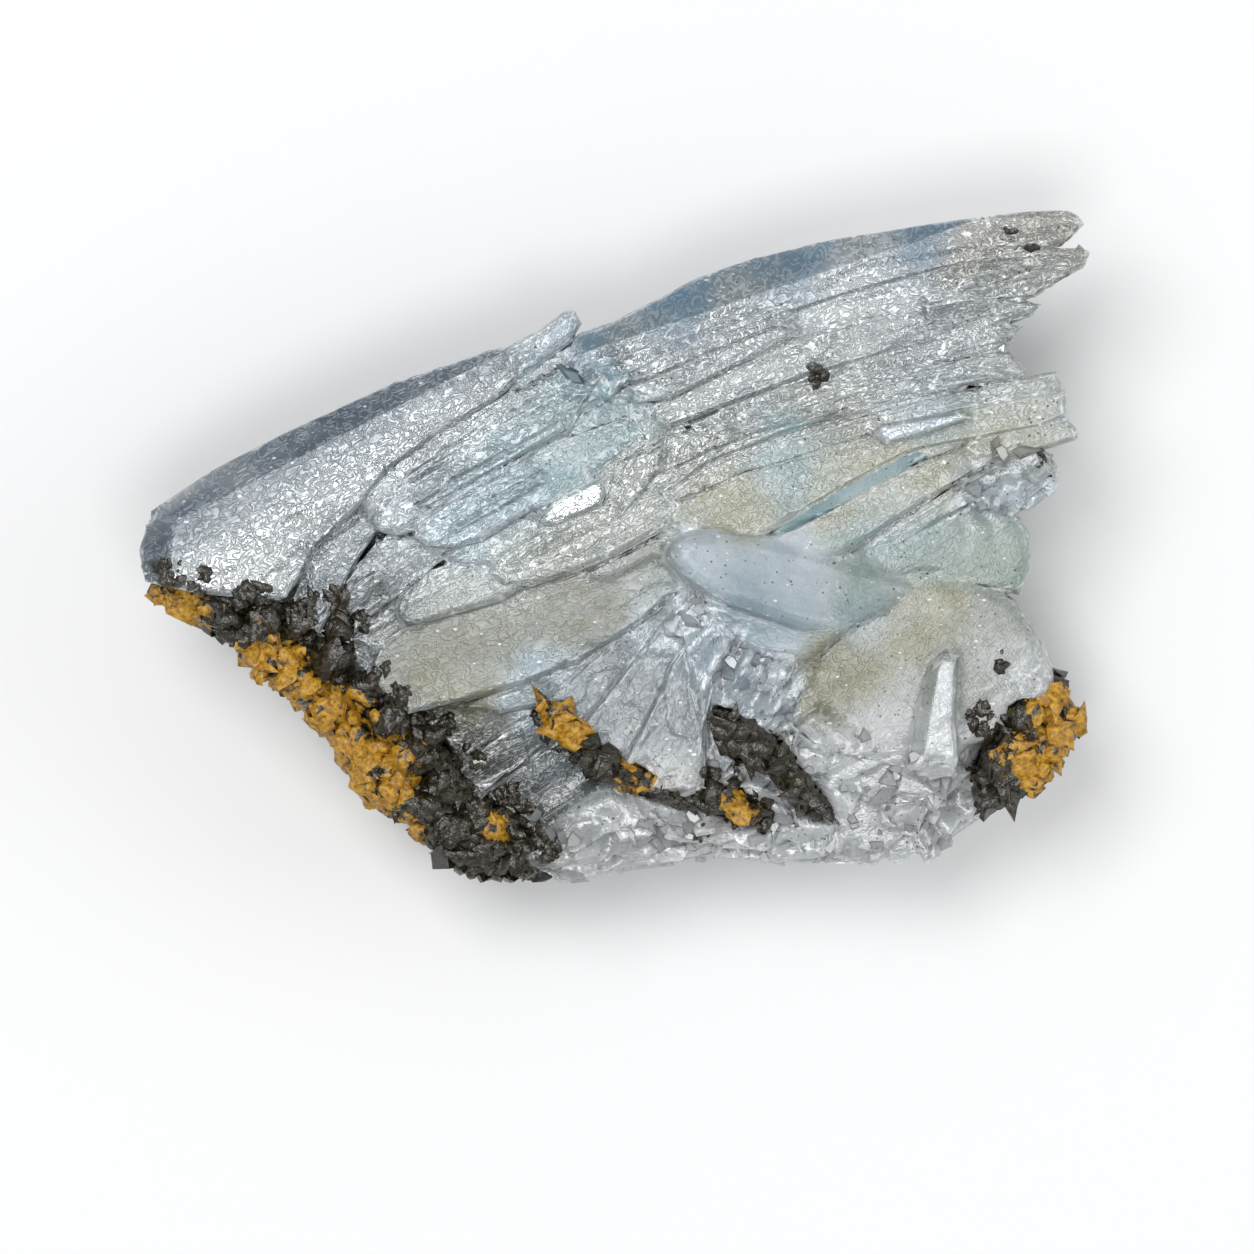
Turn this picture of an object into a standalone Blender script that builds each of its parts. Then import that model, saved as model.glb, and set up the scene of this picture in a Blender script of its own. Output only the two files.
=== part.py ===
"""A cluster of blue barite blades with iron-oxide crusts, about 95 mm long, lying on its cleaved back.

Every outline is measured in millimetres on a drawing sheet laid over the front of the cluster: the first
number runs to the right and the second down from the sheet's top left corner. Heights are millimetres
above the surface that the cluster lies on. The front of the cluster faces +Z.
"""

import math
import random

import bmesh
import bpy
from mathutils import Matrix, Vector

MM = 0.001
SHEET_MIDDLE = (61.2, 54.8)  # the point of the sheet that lies over the origin
CORE_HEIGHT = 15.5
HEART_HEIGHT = 23.0  # the innermost part of the core, which closes every hollow between the blades
CRUST_GAP = 0.35  # the clearance between a crust and the bed that it sits in
GRAIN_SPACING = 1.7  # from one crust grain to the next, as a share of their radius
GRAIN_JITTER = 0.3
SEED = 11


def clear_scene():
    for old in list(bpy.data.objects):
        bpy.data.objects.remove(old, do_unlink=True)


def sheet_point(spot, height=0.0):
    """A point of the drawing sheet as a place in metres."""
    return Vector(((spot[0] - SHEET_MIDDLE[0]) * MM, (SHEET_MIDDLE[1] - spot[1]) * MM, height * MM))


def material(name, colour, roughness):
    made = bpy.data.materials.new(name)
    made.use_nodes = True
    shader = made.node_tree.nodes["Principled BSDF"]
    shader.inputs["Base Color"].default_value = (*colour, 1.0)
    shader.inputs["Roughness"].default_value = roughness
    shader.inputs["Metallic"].default_value = 0.0
    made.diffuse_color = (*colour, 1.0)
    return made


def cut_facet(bm, start, end, fall):
    """Cuts a flat face that starts at the line from start to end and falls away to the left of it."""
    first, second = sheet_point(start), sheet_point(end)
    along = (second - first).normalized()
    outward = Vector((-along.y, along.x, 0.0))
    normal = outward * math.sin(math.radians(fall)) + Vector((0.0, 0.0, math.cos(math.radians(fall))))
    whole = bm.verts[:] + bm.edges[:] + bm.faces[:]
    cut = bmesh.ops.bisect_plane(bm, geom=whole, dist=1e-7, plane_co=first, plane_no=normal, clear_outer=True)
    rim = [part for part in cut["geom_cut"] if isinstance(part, bmesh.types.BMEdge)]
    bmesh.ops.edgeloop_fill(bm, edges=rim)


def crystal(outline, height, rise=(0.0, 0.0), depth=8.0, chamfer=0.6, spread=0.0, facets=(), steps=1):
    """A tabular blade seen from the front: its outline, and the height of its front face at the middle.

    rise is how much the face climbs for each millimetre to the right and for each millimetre up the
    sheet, depth its thickness, and spread how much wider its rear is, as a share.
    """
    bm = bmesh.new()
    front = bm.faces.new([bm.verts.new(sheet_point(spot)) for spot in outline])
    middle = front.calc_center_median()
    grown = bmesh.ops.extrude_face_region(bm, geom=[front])
    for vert in grown["geom"]:
        if isinstance(vert, bmesh.types.BMVert):
            vert.co = middle + (vert.co - middle) * (1.0 + spread)
            vert.co.z = -depth * MM
    bmesh.ops.recalc_face_normals(bm, faces=bm.faces[:])
    rim = [edge for edge in bm.edges if all(vert.co.z > -1e-9 for vert in edge.verts)]
    bmesh.ops.bevel(bm, geom=rim, offset=chamfer * MM, segments=steps, profile=0.5, affect="EDGES",
                    clamp_overlap=True)
    for start, end, fall in facets:
        cut_facet(bm, start, end, fall)
    for vert in bm.verts:
        lift = rise[0] * (vert.co.x - middle.x) + rise[1] * (vert.co.y - middle.y)
        vert.co.z += height * MM + lift
    bmesh.ops.recalc_face_normals(bm, faces=bm.faces[:])
    mesh = bpy.data.meshes.new("crystal")
    bm.to_mesh(mesh)
    bm.free()
    return mesh


def core():
    """The intergrown middle of the cluster, with the flat cleavage that it lies on."""
    back = [(22, 59), (32, 50), (46, 43), (60, 40), (78, 35), (92, 37), (97, 46), (96, 58), (101, 70),
            (98, 78), (90, 82), (62, 85), (52, 84), (45, 81), (38, 77), (33, 71), (27, 65)]
    foot = [(30, 57), (45, 47), (63, 44), (80, 41), (90, 46), (92, 60), (90, 72), (76, 78), (60, 79),
            (46, 74), (35, 66)]
    heart = [(40, 58), (60, 45), (84, 42), (95, 47), (97, 57), (99, 68), (97, 76), (84, 80), (70, 79),
             (65, 69), (50, 67)]
    return [
        crystal(heart, HEART_HEIGHT, depth=11.0, chamfer=0.5),
        crystal(back, CORE_HEIGHT, depth=12.0, chamfer=1.0, spread=-0.06),
        crystal(foot, 6.0, depth=6.0, chamfer=1.0, spread=-0.05),
    ]


def upper_left_blade():
    """The thick dark blade of the upper left, with its broad mirror face and its paler tip."""
    blade = [(13.6, 55.2), (15.0, 51.2), (20.0, 47.8), (30.0, 42.6), (40.0, 38.0), (50.3, 34.6),
             (52.0, 37.8), (50.0, 39.8), (43.8, 43.5), (39.0, 47.0), (36.3, 50.3), (31.5, 55.0),
             (29.0, 60.2), (20.0, 59.4), (14.6, 58.2)]
    tip = [(47.0, 36.9), (53.4, 33.3), (56.2, 31.3), (57.6, 31.2), (58.1, 32.3), (57.2, 34.4), (54.6, 36.3),
           (51.6, 38.6), (47.6, 40.0)]
    bridge = [(44.0, 38.4), (52.4, 34.6), (57.0, 33.4), (60.0, 34.6), (62.0, 42.0), (50.0, 46.0),
              (43.0, 45.0)]
    middle_leaf = [(17.0, 55.0), (24.0, 48.5), (38.0, 42.0), (54.0, 36.4), (56.0, 42.0), (41.0, 54.0),
                   (33.0, 60.0), (22.0, 58.0)]
    rear_leaf = [(20.0, 56.0), (28.0, 49.5), (40.0, 44.0), (58.0, 38.6), (56.0, 47.0), (38.0, 60.0),
                 (25.0, 59.0)]
    shoulder = ((15.0, 57.4), (51.0, 37.6), 9.0)
    dark_band = ((15.0, 54.6), (50.0, 36.2), 30.0)
    upper_edge = ((14.0, 54.4), (33.0, 41.9), 54.0)
    left_end = ((15.6, 60.0), (19.0, 50.0), 32.0)
    return [
        crystal(blade, 29.6, (-0.02, 0.09), 11.0, 0.45, -0.02, [shoulder, dark_band, upper_edge, left_end]),
        crystal(tip, 30.0, (0.05, 0.12), 5.0, 0.9, 0.0, steps=2),
        crystal(bridge, 25.6, (0.02, 0.05), 9.0, 0.6, -0.03),
        crystal(middle_leaf, 20.4, (-0.03, 0.08), 7.5, 2.0, -0.06),
        crystal(rear_leaf, 13.4, (0.04, -0.05), 8.5, 2.0, -0.10),
    ]


def crack_blades():
    """The thin grey blades that lie deep in the crack below the dark blade."""
    along_crack = [(28.4, 61.0), (30.4, 55.6), (35.6, 50.4), (38.6, 46.8), (43.6, 43.0), (51.0, 38.8),
                   (52.5, 41.0), (46.0, 45.5), (40.4, 50.0), (37.6, 53.4), (34.6, 58.0), (32.0, 63.5)]
    second = [(31.6, 63.5), (34.4, 58.0), (38.2, 53.6), (44.0, 52.8), (45.8, 54.8), (41.4, 58.2),
              (36.8, 61.8), (34.0, 65.5)]
    third = [(35.0, 64.0), (39.6, 59.4), (45.8, 55.6), (48.4, 56.2), (43.4, 60.4), (38.4, 65.0)]
    bright = [(33.6, 60.6), (37.4, 57.0), (41.8, 54.2), (42.6, 55.0), (38.8, 58.0), (35.0, 61.6)]
    return [
        crystal(along_crack, 27.2, (0.03, 0.05), 8.0, 0.3),
        crystal(second, 25.6, (0.05, 0.10), 8.0, 0.4),
        crystal(third, 24.9, (0.04, -0.04), 8.0, 0.4),
        crystal(bright, 26.5, (0.02, 0.12), 4.0, 0.35),
    ]


def blue_shingles():
    """The overlapping blue blades whose blunt ends point down to the left."""
    upper = [(39.8, 47.6), (44.6, 43.9), (51.4, 39.4), (56.4, 36.6), (57.4, 38.6), (52.4, 41.8),
             (46.6, 45.0), (42.0, 47.8)]
    first = [(37.1, 52.3), (37.9, 50.6), (40.2, 47.9), (44.0, 45.2), (49.0, 42.4), (56.0, 38.6),
             (60.0, 38.8), (57.0, 43.4), (50.0, 47.8), (45.0, 50.8), (42.0, 53.0), (39.6, 53.7),
             (37.8, 53.3)]
    second = [(41.2, 53.7), (42.2, 52.0), (45.6, 49.6), (51.0, 46.6), (57.0, 43.8), (63.0, 41.6),
              (65.0, 44.4), (59.0, 48.0), (53.0, 51.4), (48.4, 54.2), (45.4, 55.0), (42.6, 54.8)]
    third = [(44.2, 55.6), (46.6, 53.6), (52.0, 50.4), (58.0, 47.6), (62.0, 47.0), (60.0, 50.6),
             (53.4, 54.0), (49.4, 56.6), (45.8, 56.8)]
    ridge = [(41.2, 50.6), (45.0, 47.9), (50.0, 45.2), (56.0, 42.0), (56.6, 43.0), (51.0, 46.4),
             (45.8, 49.2), (42.4, 51.2)]
    second_ridge = [(44.4, 52.6), (49.0, 49.8), (54.0, 47.2), (54.8, 48.2), (50.0, 51.2), (45.8, 53.6)]
    return [
        crystal(upper, 28.3, (0.02, 0.10), 6.0, 0.4),
        crystal(first, 28.9, (-0.03, 0.10), 6.0, 0.7, steps=2),
        crystal(second, 28.6, (-0.05, 0.08), 6.0, 0.7, steps=2),
        crystal(third, 27.5, (-0.05, 0.10), 6.0, 0.6),
        crystal(ridge, 29.6, (-0.03, 0.16), 4.0, 0.45),
        crystal(second_ridge, 29.1, (-0.04, 0.18), 4.0, 0.45),
    ]


def green_recess():
    """The sunken face between the blue blades and the long laths."""
    face = [(48.0, 45.0), (54.0, 40.8), (60.0, 38.6), (66.4, 41.0), (70.0, 44.0), (64.0, 48.6),
            (56.0, 52.0), (49.0, 51.0)]
    upper_step = [(51.4, 43.4), (56.6, 40.2), (63.4, 39.2), (65.6, 41.4), (60.0, 43.6), (54.0, 45.6)]
    return [
        crystal(face, 27.2, (-0.02, 0.03), 8.0, 0.4),
        crystal(upper_step, 27.8, (-0.02, 0.07), 5.0, 0.4),
    ]


def top_right_sheaf():
    """The large sheaf of the upper right: parallel laths that part into separate tips."""
    top = [(56.2, 36.4), (57.8, 33.4), (62.0, 31.9), (66.0, 29.8), (70.0, 27.7), (76.0, 25.6), (83.0, 24.0),
           (92.5, 22.5), (100.0, 21.5), (106.4, 21.1), (107.8, 21.6), (108.3, 22.5), (106.6, 24.2),
           (104.0, 25.4), (96.0, 26.6), (86.0, 29.2), (76.0, 32.4), (66.0, 36.0), (59.0, 39.0)]
    second = [(84.0, 28.4), (94.0, 25.8), (102.0, 24.9), (108.2, 24.8), (109.0, 25.4), (108.2, 26.8),
              (104.6, 29.0), (103.0, 30.0), (95.0, 31.0), (84.0, 33.6), (74.0, 36.8), (66.0, 39.6),
              (62.0, 38.6), (72.0, 33.6)]
    third = [(82.0, 33.0), (92.0, 30.6), (100.0, 29.6), (104.1, 30.4), (103.0, 31.6), (99.0, 33.0),
             (90.0, 35.0), (80.0, 38.0), (72.0, 41.0), (66.6, 43.0), (65.3, 42.4), (65.0, 40.6),
             (72.0, 37.2)]
    fourth = [(90.0, 33.8), (98.0, 32.0), (102.4, 32.6), (101.6, 33.8), (98.0, 35.4), (90.0, 37.2),
              (80.0, 40.6), (74.0, 43.2), (69.8, 44.0), (68.8, 42.2), (78.0, 37.8)]
    fifth = [(88.0, 37.0), (95.0, 35.4), (100.8, 34.9), (101.8, 36.0), (102.6, 36.8), (102.0, 38.0),
             (94.0, 38.9), (86.0, 41.2), (77.0, 44.0), (72.0, 46.0), (70.0, 44.6), (78.0, 40.4)]
    step = [(62.6, 38.8), (70.0, 35.4), (78.0, 32.4), (80.0, 33.8), (72.0, 37.4), (67.0, 40.0),
            (63.6, 40.4)]
    foam = [(55.6, 38.6), (58.0, 36.2), (61.4, 35.4), (63.0, 37.8), (60.4, 40.6), (58.2, 40.9)]
    splinter = [(96.0, 27.6), (101.6, 26.2), (106.8, 25.8), (104.4, 27.6), (99.0, 29.0), (95.0, 29.4)]
    glint = [(92.0, 30.4), (96.8, 29.6), (100.0, 30.0), (99.8, 31.8), (96.0, 32.6), (92.6, 32.6)]
    middle_leaf = [(58.0, 37.0), (70.0, 30.0), (84.0, 26.4), (99.0, 25.0), (104.0, 27.0), (98.0, 34.0),
                   (76.0, 42.0), (60.0, 44.0)]
    rear_leaf = [(58.0, 40.0), (72.0, 33.0), (86.0, 29.0), (95.0, 28.5), (98.0, 32.5), (92.0, 40.0),
                 (75.0, 46.0), (60.0, 47.0)]
    blue_edge = ((59.0, 35.2), (91.0, 24.4), 42.0)
    return [
        crystal(top, 29.2, (-0.03, 0.06), 6.0, 0.4, facets=[blue_edge]),
        crystal(second, 28.4, (-0.03, 0.10), 6.0, 0.5),
        crystal(third, 28.3, (-0.04, 0.06), 5.5, 0.5),
        crystal(fourth, 27.6, (-0.03, 0.12), 5.5, 0.5),
        crystal(fifth, 26.9, (-0.03, 0.05), 5.5, 0.5),
        crystal(step, 29.6, (-0.03, 0.02), 4.0, 0.4),
        crystal(foam, 29.2, (0.02, 0.14), 4.0, 0.7),
        crystal(splinter, 28.6, (-0.05, 0.20), 3.0, 0.5),
        crystal(glint, 28.6, (-0.10, 0.24), 3.5, 0.5),
        crystal(middle_leaf, 26.0, (-0.03, 0.08), 9.0, 1.8, -0.07),
        crystal(rear_leaf, 15.2, (0.03, -0.04), 8.0, 2.0, -0.09),
    ]


def silver_laths():
    """The long bright laths that cross the middle, and the rounded one below them."""
    upper = [(54.0, 52.6), (54.4, 50.4), (58.0, 48.2), (63.6, 45.4), (68.0, 43.2), (76.0, 41.6),
             (88.0, 38.2), (96.0, 36.2), (102.0, 37.4), (96.0, 38.8), (87.0, 40.9), (78.0, 43.2),
             (71.0, 46.4), (66.0, 50.0), (60.0, 52.0)]
    mirror = [(53.8, 52.4), (55.2, 50.2), (60.2, 47.8), (60.6, 49.6), (60.2, 50.6), (55.4, 52.6)]
    lower = [(63.6, 49.6), (66.0, 47.4), (71.0, 44.8), (77.0, 42.7), (84.0, 40.9), (84.4, 41.6),
             (77.6, 43.6), (71.0, 46.2), (67.6, 48.8), (65.0, 50.2)]
    rounded = [(48.6, 57.4), (50.0, 55.6), (54.4, 52.8), (60.0, 50.8), (66.0, 48.6), (68.0, 50.6),
               (66.0, 53.2), (61.0, 56.0), (57.0, 57.6), (53.4, 58.8), (50.4, 58.8)]
    end_step = [(61.0, 48.6), (63.4, 45.8), (66.4, 44.6), (66.0, 47.0), (64.0, 49.8), (61.8, 52.4),
                (60.6, 51.6)]
    sliver = [(58.4, 57.6), (60.6, 56.4), (66.0, 54.0), (66.6, 55.4), (62.0, 57.6), (59.6, 58.4)]
    right_step = [(95.6, 36.0), (101.0, 35.0), (101.6, 36.4), (102.6, 37.0), (101.6, 38.6), (97.0, 38.6)]
    return [
        crystal(upper, 27.5, (-0.02, 0.10), 6.0, 0.45),
        crystal(mirror, 28.6, (-0.02, 0.05), 4.0, 0.35),
        crystal(lower, 28.1, (-0.03, 0.16), 4.0, 0.4),
        crystal(rounded, 27.45, (-0.04, 0.12), 6.0, 0.7, steps=2),
        crystal(end_step, 28.2, (0.06, 0.10), 4.0, 0.4),
        crystal(sliver, 26.7, (-0.02, 0.10), 4.0, 0.5),
        crystal(right_step, 27.4, (-0.05, 0.16), 4.0, 0.45),
    ]


def broad_green_face():
    """The wide pale green face, the pale shingle above it, and the dark face in its shadow."""
    shingle = [(39.6, 61.4), (40.2, 59.6), (42.6, 57.2), (46.0, 55.8), (50.4, 56.4), (54.0, 58.2),
               (50.4, 60.2), (45.4, 61.6), (42.2, 62.6), (40.4, 62.6)]
    face = [(36.0, 68.0), (37.6, 64.8), (41.0, 62.2), (48.0, 60.2), (54.0, 58.0), (60.0, 56.8),
            (66.6, 53.6), (69.4, 55.4), (68.6, 58.6), (63.6, 62.6), (58.0, 66.2), (52.4, 68.4),
            (46.0, 70.2), (40.8, 71.4)]
    blue_rim = [(46.0, 70.6), (52.6, 68.2), (58.0, 66.0), (63.8, 62.2), (69.4, 57.8), (70.2, 60.6),
                (64.0, 66.0), (57.0, 70.0), (50.0, 71.4)]
    dark_face = [(38.4, 70.4), (46.0, 69.6), (55.0, 67.6), (60.0, 68.4), (60.4, 78.0), (57.0, 83.4),
                 (51.0, 85.4), (45.0, 79.6), (40.4, 74.4)]
    dark_ridge = [(45.0, 77.0), (50.0, 73.0), (55.4, 70.4), (57.0, 72.6), (53.0, 76.4), (48.0, 80.0)]
    left_face = [(33.0, 63.4), (38.4, 60.6), (41.6, 61.8), (40.6, 66.0), (38.4, 69.4), (35.6, 67.0)]
    return [
        crystal(shingle, 26.9, (-0.02, 0.12), 5.0, 0.8, steps=2),
        crystal(face, 25.5, (0.03, 0.07), 8.0, 0.5),
        crystal(blue_rim, 24.2, (0.04, 0.14), 8.0, 0.5),
        crystal(dark_face, 19.6, (-0.02, 0.16), 9.0, 0.6, -0.02),
        crystal(dark_ridge, 20.9, (-0.03, 0.20), 5.0, 0.6),
        crystal(left_face, 24.2, (0.05, 0.06), 8.0, 0.6),
    ]


def vein_fan():
    """The white-blue blades that spread up from the iron vein."""
    left = [(54.0, 70.4), (56.4, 68.2), (61.0, 64.2), (66.4, 59.8), (69.0, 59.4), (65.0, 65.2),
            (60.0, 71.4), (57.4, 74.2)]
    middle = [(56.6, 74.0), (60.4, 69.4), (66.0, 62.8), (69.2, 59.6), (70.4, 62.2), (67.4, 69.0),
              (63.0, 77.6), (59.4, 76.2)]
    right = [(61.4, 77.6), (65.6, 69.4), (69.0, 62.0), (70.4, 62.6), (70.6, 70.0), (70.6, 78.8),
             (66.0, 79.4)]
    fractured = [(66.8, 61.8), (69.2, 59.6), (71.6, 61.0), (73.6, 64.4), (71.4, 68.0), (70.2, 73.0),
                 (68.6, 66.6)]
    return [
        crystal(left, 24.6, (0.03, 0.06), 8.0, 0.45),
        crystal(middle, 25.3, (0.02, 0.05), 8.0, 0.45),
        crystal(right, 25.9, (0.01, 0.05), 8.0, 0.5),
        crystal(fractured, 26.9, (0.06, 0.02), 6.0, 0.7),
    ]


def nose():
    """The rounded pale crystal that points to the left, and the slope below it."""
    point = [(66.6, 56.0), (66.9, 54.6), (68.3, 53.4), (71.6, 52.9), (76.0, 53.4), (82.0, 54.8),
             (88.0, 57.0), (91.0, 59.0), (88.0, 61.4), (82.6, 64.0), (77.6, 62.4), (72.0, 60.4),
             (68.6, 58.2)]
    slope = [(69.4, 58.6), (73.0, 60.2), (80.0, 63.2), (84.6, 60.6), (85.4, 62.4), (81.4, 66.4),
             (76.0, 65.8), (71.0, 62.8)]
    return [
        crystal(point, 27.6, (-0.15, 0.03), 7.0, 1.5, 0.05, steps=2),
        crystal(slope, 26.4, (0.02, 0.16), 7.0, 0.6),
    ]


def right_fan():
    """The blades that fan out to the right edge, with the teal groove between two of them."""
    blue_top = [(66.0, 50.6), (70.0, 47.2), (78.0, 44.2), (88.0, 41.2), (96.0, 39.2), (104.0, 37.4),
                (105.5, 37.1), (106.1, 38.4), (106.0, 39.6), (96.0, 42.6), (84.0, 46.0), (72.0, 50.4)]
    long_face = [(66.2, 52.4), (67.6, 50.2), (74.0, 47.4), (84.0, 44.4), (92.0, 41.9), (101.0, 39.7),
                 (106.6, 38.9), (106.7, 41.6), (104.0, 42.8), (98.0, 43.9), (91.0, 45.3), (84.4, 48.7),
                 (77.0, 53.4), (71.0, 53.8)]
    box_crystal = [(87.2, 43.6), (87.8, 42.4), (90.2, 42.1), (96.0, 41.0), (97.4, 41.8), (93.0, 43.4),
                   (88.6, 44.6)]
    groove = [(75.0, 54.8), (80.0, 50.6), (91.6, 44.6), (94.0, 46.0), (84.0, 51.8), (77.6, 55.0)]
    lower_face = [(77.6, 54.2), (83.6, 50.8), (91.0, 46.8), (97.6, 43.9), (104.0, 41.8), (106.7, 41.7),
                  (107.9, 43.2), (107.7, 43.9), (104.6, 44.8), (99.0, 46.5), (93.0, 49.8), (87.0, 53.6),
                  (83.6, 56.0)]
    blue_rim = [(83.0, 56.6), (88.0, 53.4), (93.6, 49.8), (99.6, 46.2), (104.0, 44.6), (104.4, 46.6),
                (98.0, 50.0), (91.6, 53.8), (86.4, 57.6)]
    sea_green = [(82.6, 58.6), (87.0, 55.2), (92.0, 52.4), (97.0, 50.2), (101.9, 50.9), (103.1, 53.4),
                 (103.0, 57.0), (102.2, 59.6), (100.6, 58.8), (96.0, 58.0), (92.6, 57.0), (88.0, 58.6),
                 (83.8, 61.0)]
    white_chip = [(96.0, 49.6), (99.6, 46.8), (103.4, 44.6), (105.2, 45.4), (105.6, 47.4), (102.6, 49.0),
                  (101.0, 51.6), (98.6, 51.2)]
    end_chip = [(101.6, 48.2), (105.0, 45.8), (106.0, 46.8), (105.8, 48.4), (104.6, 49.8), (102.4, 51.4)]
    middle_leaf = [(70.0, 46.0), (90.0, 36.6), (101.4, 36.4), (104.8, 39.6), (105.0, 45.0), (101.8, 53.0),
                   (102.0, 59.0), (97.0, 63.0), (84.0, 64.0), (72.0, 58.0)]
    rear_leaf = [(72.0, 45.0), (88.0, 38.6), (98.0, 38.6), (101.0, 46.0), (99.6, 57.0), (92.0, 65.0),
                 (76.0, 62.0)]
    return [
        crystal(blue_top, 26.4, (-0.03, 0.20), 6.0, 0.4),
        crystal(long_face, 27.2, (-0.03, 0.03), 6.0, 0.45),
        crystal(box_crystal, 28.3, (-0.04, 0.10), 4.0, 0.45),
        crystal(groove, 24.2, (-0.02, 0.10), 6.0, 0.3),
        crystal(lower_face, 26.7, (-0.04, 0.03), 6.0, 0.4),
        crystal(blue_rim, 25.6, (-0.04, 0.16), 6.0, 0.5),
        crystal(sea_green, 24.8, (-0.045, 0.05), 7.0, 0.5),
        crystal(white_chip, 25.9, (-0.10, -0.08), 5.0, 0.9),
        crystal(end_chip, 24.6, (-0.16, 0.10), 5.0, 0.6),
        crystal(middle_leaf, 22.8, (-0.05, 0.02), 9.0, 1.4, -0.05),
        crystal(rear_leaf, 12.8, (0.05, -0.03), 7.0, 2.0, -0.08),
    ]


def lower_right_mass():
    """The broad straw-coloured face of the lower right, and the prism that stands on it."""
    straw_face = [(79.0, 67.0), (83.6, 61.0), (88.6, 57.9), (94.0, 57.4), (98.6, 58.6), (101.8, 60.0),
                  (103.6, 62.4), (105.0, 65.6), (105.6, 68.6), (101.0, 73.6), (92.0, 76.0), (84.0, 76.6),
                  (78.6, 72.4)]
    right_slope = [(95.0, 70.0), (101.0, 66.0), (104.8, 67.0), (105.0, 70.0), (103.0, 76.0), (98.6, 80.0),
                   (93.0, 77.0)]
    prism = [(90.6, 76.4), (92.0, 70.4), (93.2, 66.2), (94.4, 65.4), (95.7, 65.5), (95.5, 72.0),
             (96.0, 77.6), (92.6, 78.0)]
    prism_left = ((91.8, 79.0), (94.2, 65.0), 30.0)
    prism_end = ((97.0, 76.9), (89.0, 75.9), 40.0)
    white_slope = [(70.0, 62.6), (72.4, 61.8), (79.8, 65.4), (82.0, 66.8), (79.4, 72.6), (76.4, 76.0),
                   (71.4, 78.6), (69.8, 72.0)]
    shard = [(75.6, 68.6), (77.0, 66.4), (79.4, 65.8), (79.0, 68.2), (77.0, 70.2)]
    middle_leaf = [(74.0, 64.0), (90.0, 58.0), (101.0, 61.0), (103.4, 68.0), (98.0, 77.0), (84.0, 81.0),
                   (72.0, 80.0)]
    return [
        crystal(straw_face, 24.5, (-0.01, 0.03), 7.0, 1.1, steps=2),
        crystal(right_slope, 21.4, (-0.10, 0.08), 7.0, 0.8),
        crystal(prism, 26.5, (0.02, 0.05), 5.0, 0.35, facets=[prism_left, prism_end]),
        crystal(white_slope, 24.9, (-0.02, 0.08), 7.0, 0.8),
        crystal(shard, 26.9, (0.10, 0.16), 4.0, 0.6),
        crystal(middle_leaf, 18.9, (-0.05, 0.03), 7.5, 1.6, -0.03),
    ]


def broken_foot():
    """The broken white lower edge, made of blunt overlapping chips that step down and back."""
    left = [(51.6, 86.0), (54.0, 82.0), (59.6, 78.2), (66.0, 78.8), (71.4, 80.6), (74.0, 84.0),
            (70.0, 85.9), (64.4, 86.4), (60.0, 87.8), (56.0, 88.5)]
    middle = [(69.4, 79.4), (75.6, 76.2), (82.0, 78.0), (85.0, 82.4), (82.4, 86.0), (77.4, 86.4),
              (71.6, 85.7)]
    right = [(80.4, 77.0), (86.0, 76.0), (92.4, 77.4), (95.0, 80.6), (92.0, 85.0), (88.6, 86.3),
             (83.6, 85.9)]
    corner = [(91.6, 79.0), (96.0, 77.4), (100.4, 79.2), (98.2, 82.2), (94.0, 85.2), (90.0, 86.0)]
    upper_band = [(78.6, 73.4), (86.0, 74.8), (93.0, 76.4), (97.6, 77.2), (94.0, 80.4), (86.0, 80.6),
                  (79.0, 79.0)]
    feather = [(63.0, 79.6), (69.0, 77.0), (77.0, 78.4), (80.0, 82.6), (74.0, 84.4), (66.0, 83.6)]
    ledge = [(56.0, 84.0), (66.0, 80.4), (80.0, 81.0), (92.0, 81.4), (94.0, 84.0), (86.0, 86.6),
             (72.0, 86.2), (62.0, 87.2)]
    return [
        crystal(left, 20.6, (-0.02, 0.24), 8.0, 0.9, -0.02),
        crystal(middle, 21.7, (0.02, 0.26), 8.0, 1.0, -0.02),
        crystal(right, 22.0, (-0.03, 0.28), 8.0, 1.1, -0.02),
        crystal(corner, 19.6, (-0.16, 0.24), 8.0, 1.0),
        crystal(upper_band, 23.9, (-0.02, 0.14), 10.0, 0.9),
        crystal(feather, 22.6, (0.02, 0.22), 5.0, 0.8),
        crystal(ledge, 14.6, (0.0, 0.12), 9.0, 1.2, -0.10),
    ]


def rough(mesh, rng, facet, depth):
    """The mesh broken into facets of about that length, with their corners pushed in and out by depth."""
    bm = bmesh.new()
    bm.from_mesh(mesh)
    for halving in range(4):
        bmesh.ops.triangulate(bm, faces=bm.faces[:])
        coarse = [edge for edge in bm.edges if edge.calc_length() > 1.3 * facet * MM]
        if coarse:
            bmesh.ops.subdivide_edges(bm, edges=coarse, cuts=1)
    bmesh.ops.triangulate(bm, faces=bm.faces[:])
    bm.normal_update()
    moves = [vert.normal * rng.uniform(-depth, depth) * MM for vert in bm.verts]
    for vert, move in zip(bm.verts, moves):
        vert.co += move
    bm.to_mesh(mesh)
    bm.free()
    return mesh


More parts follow.
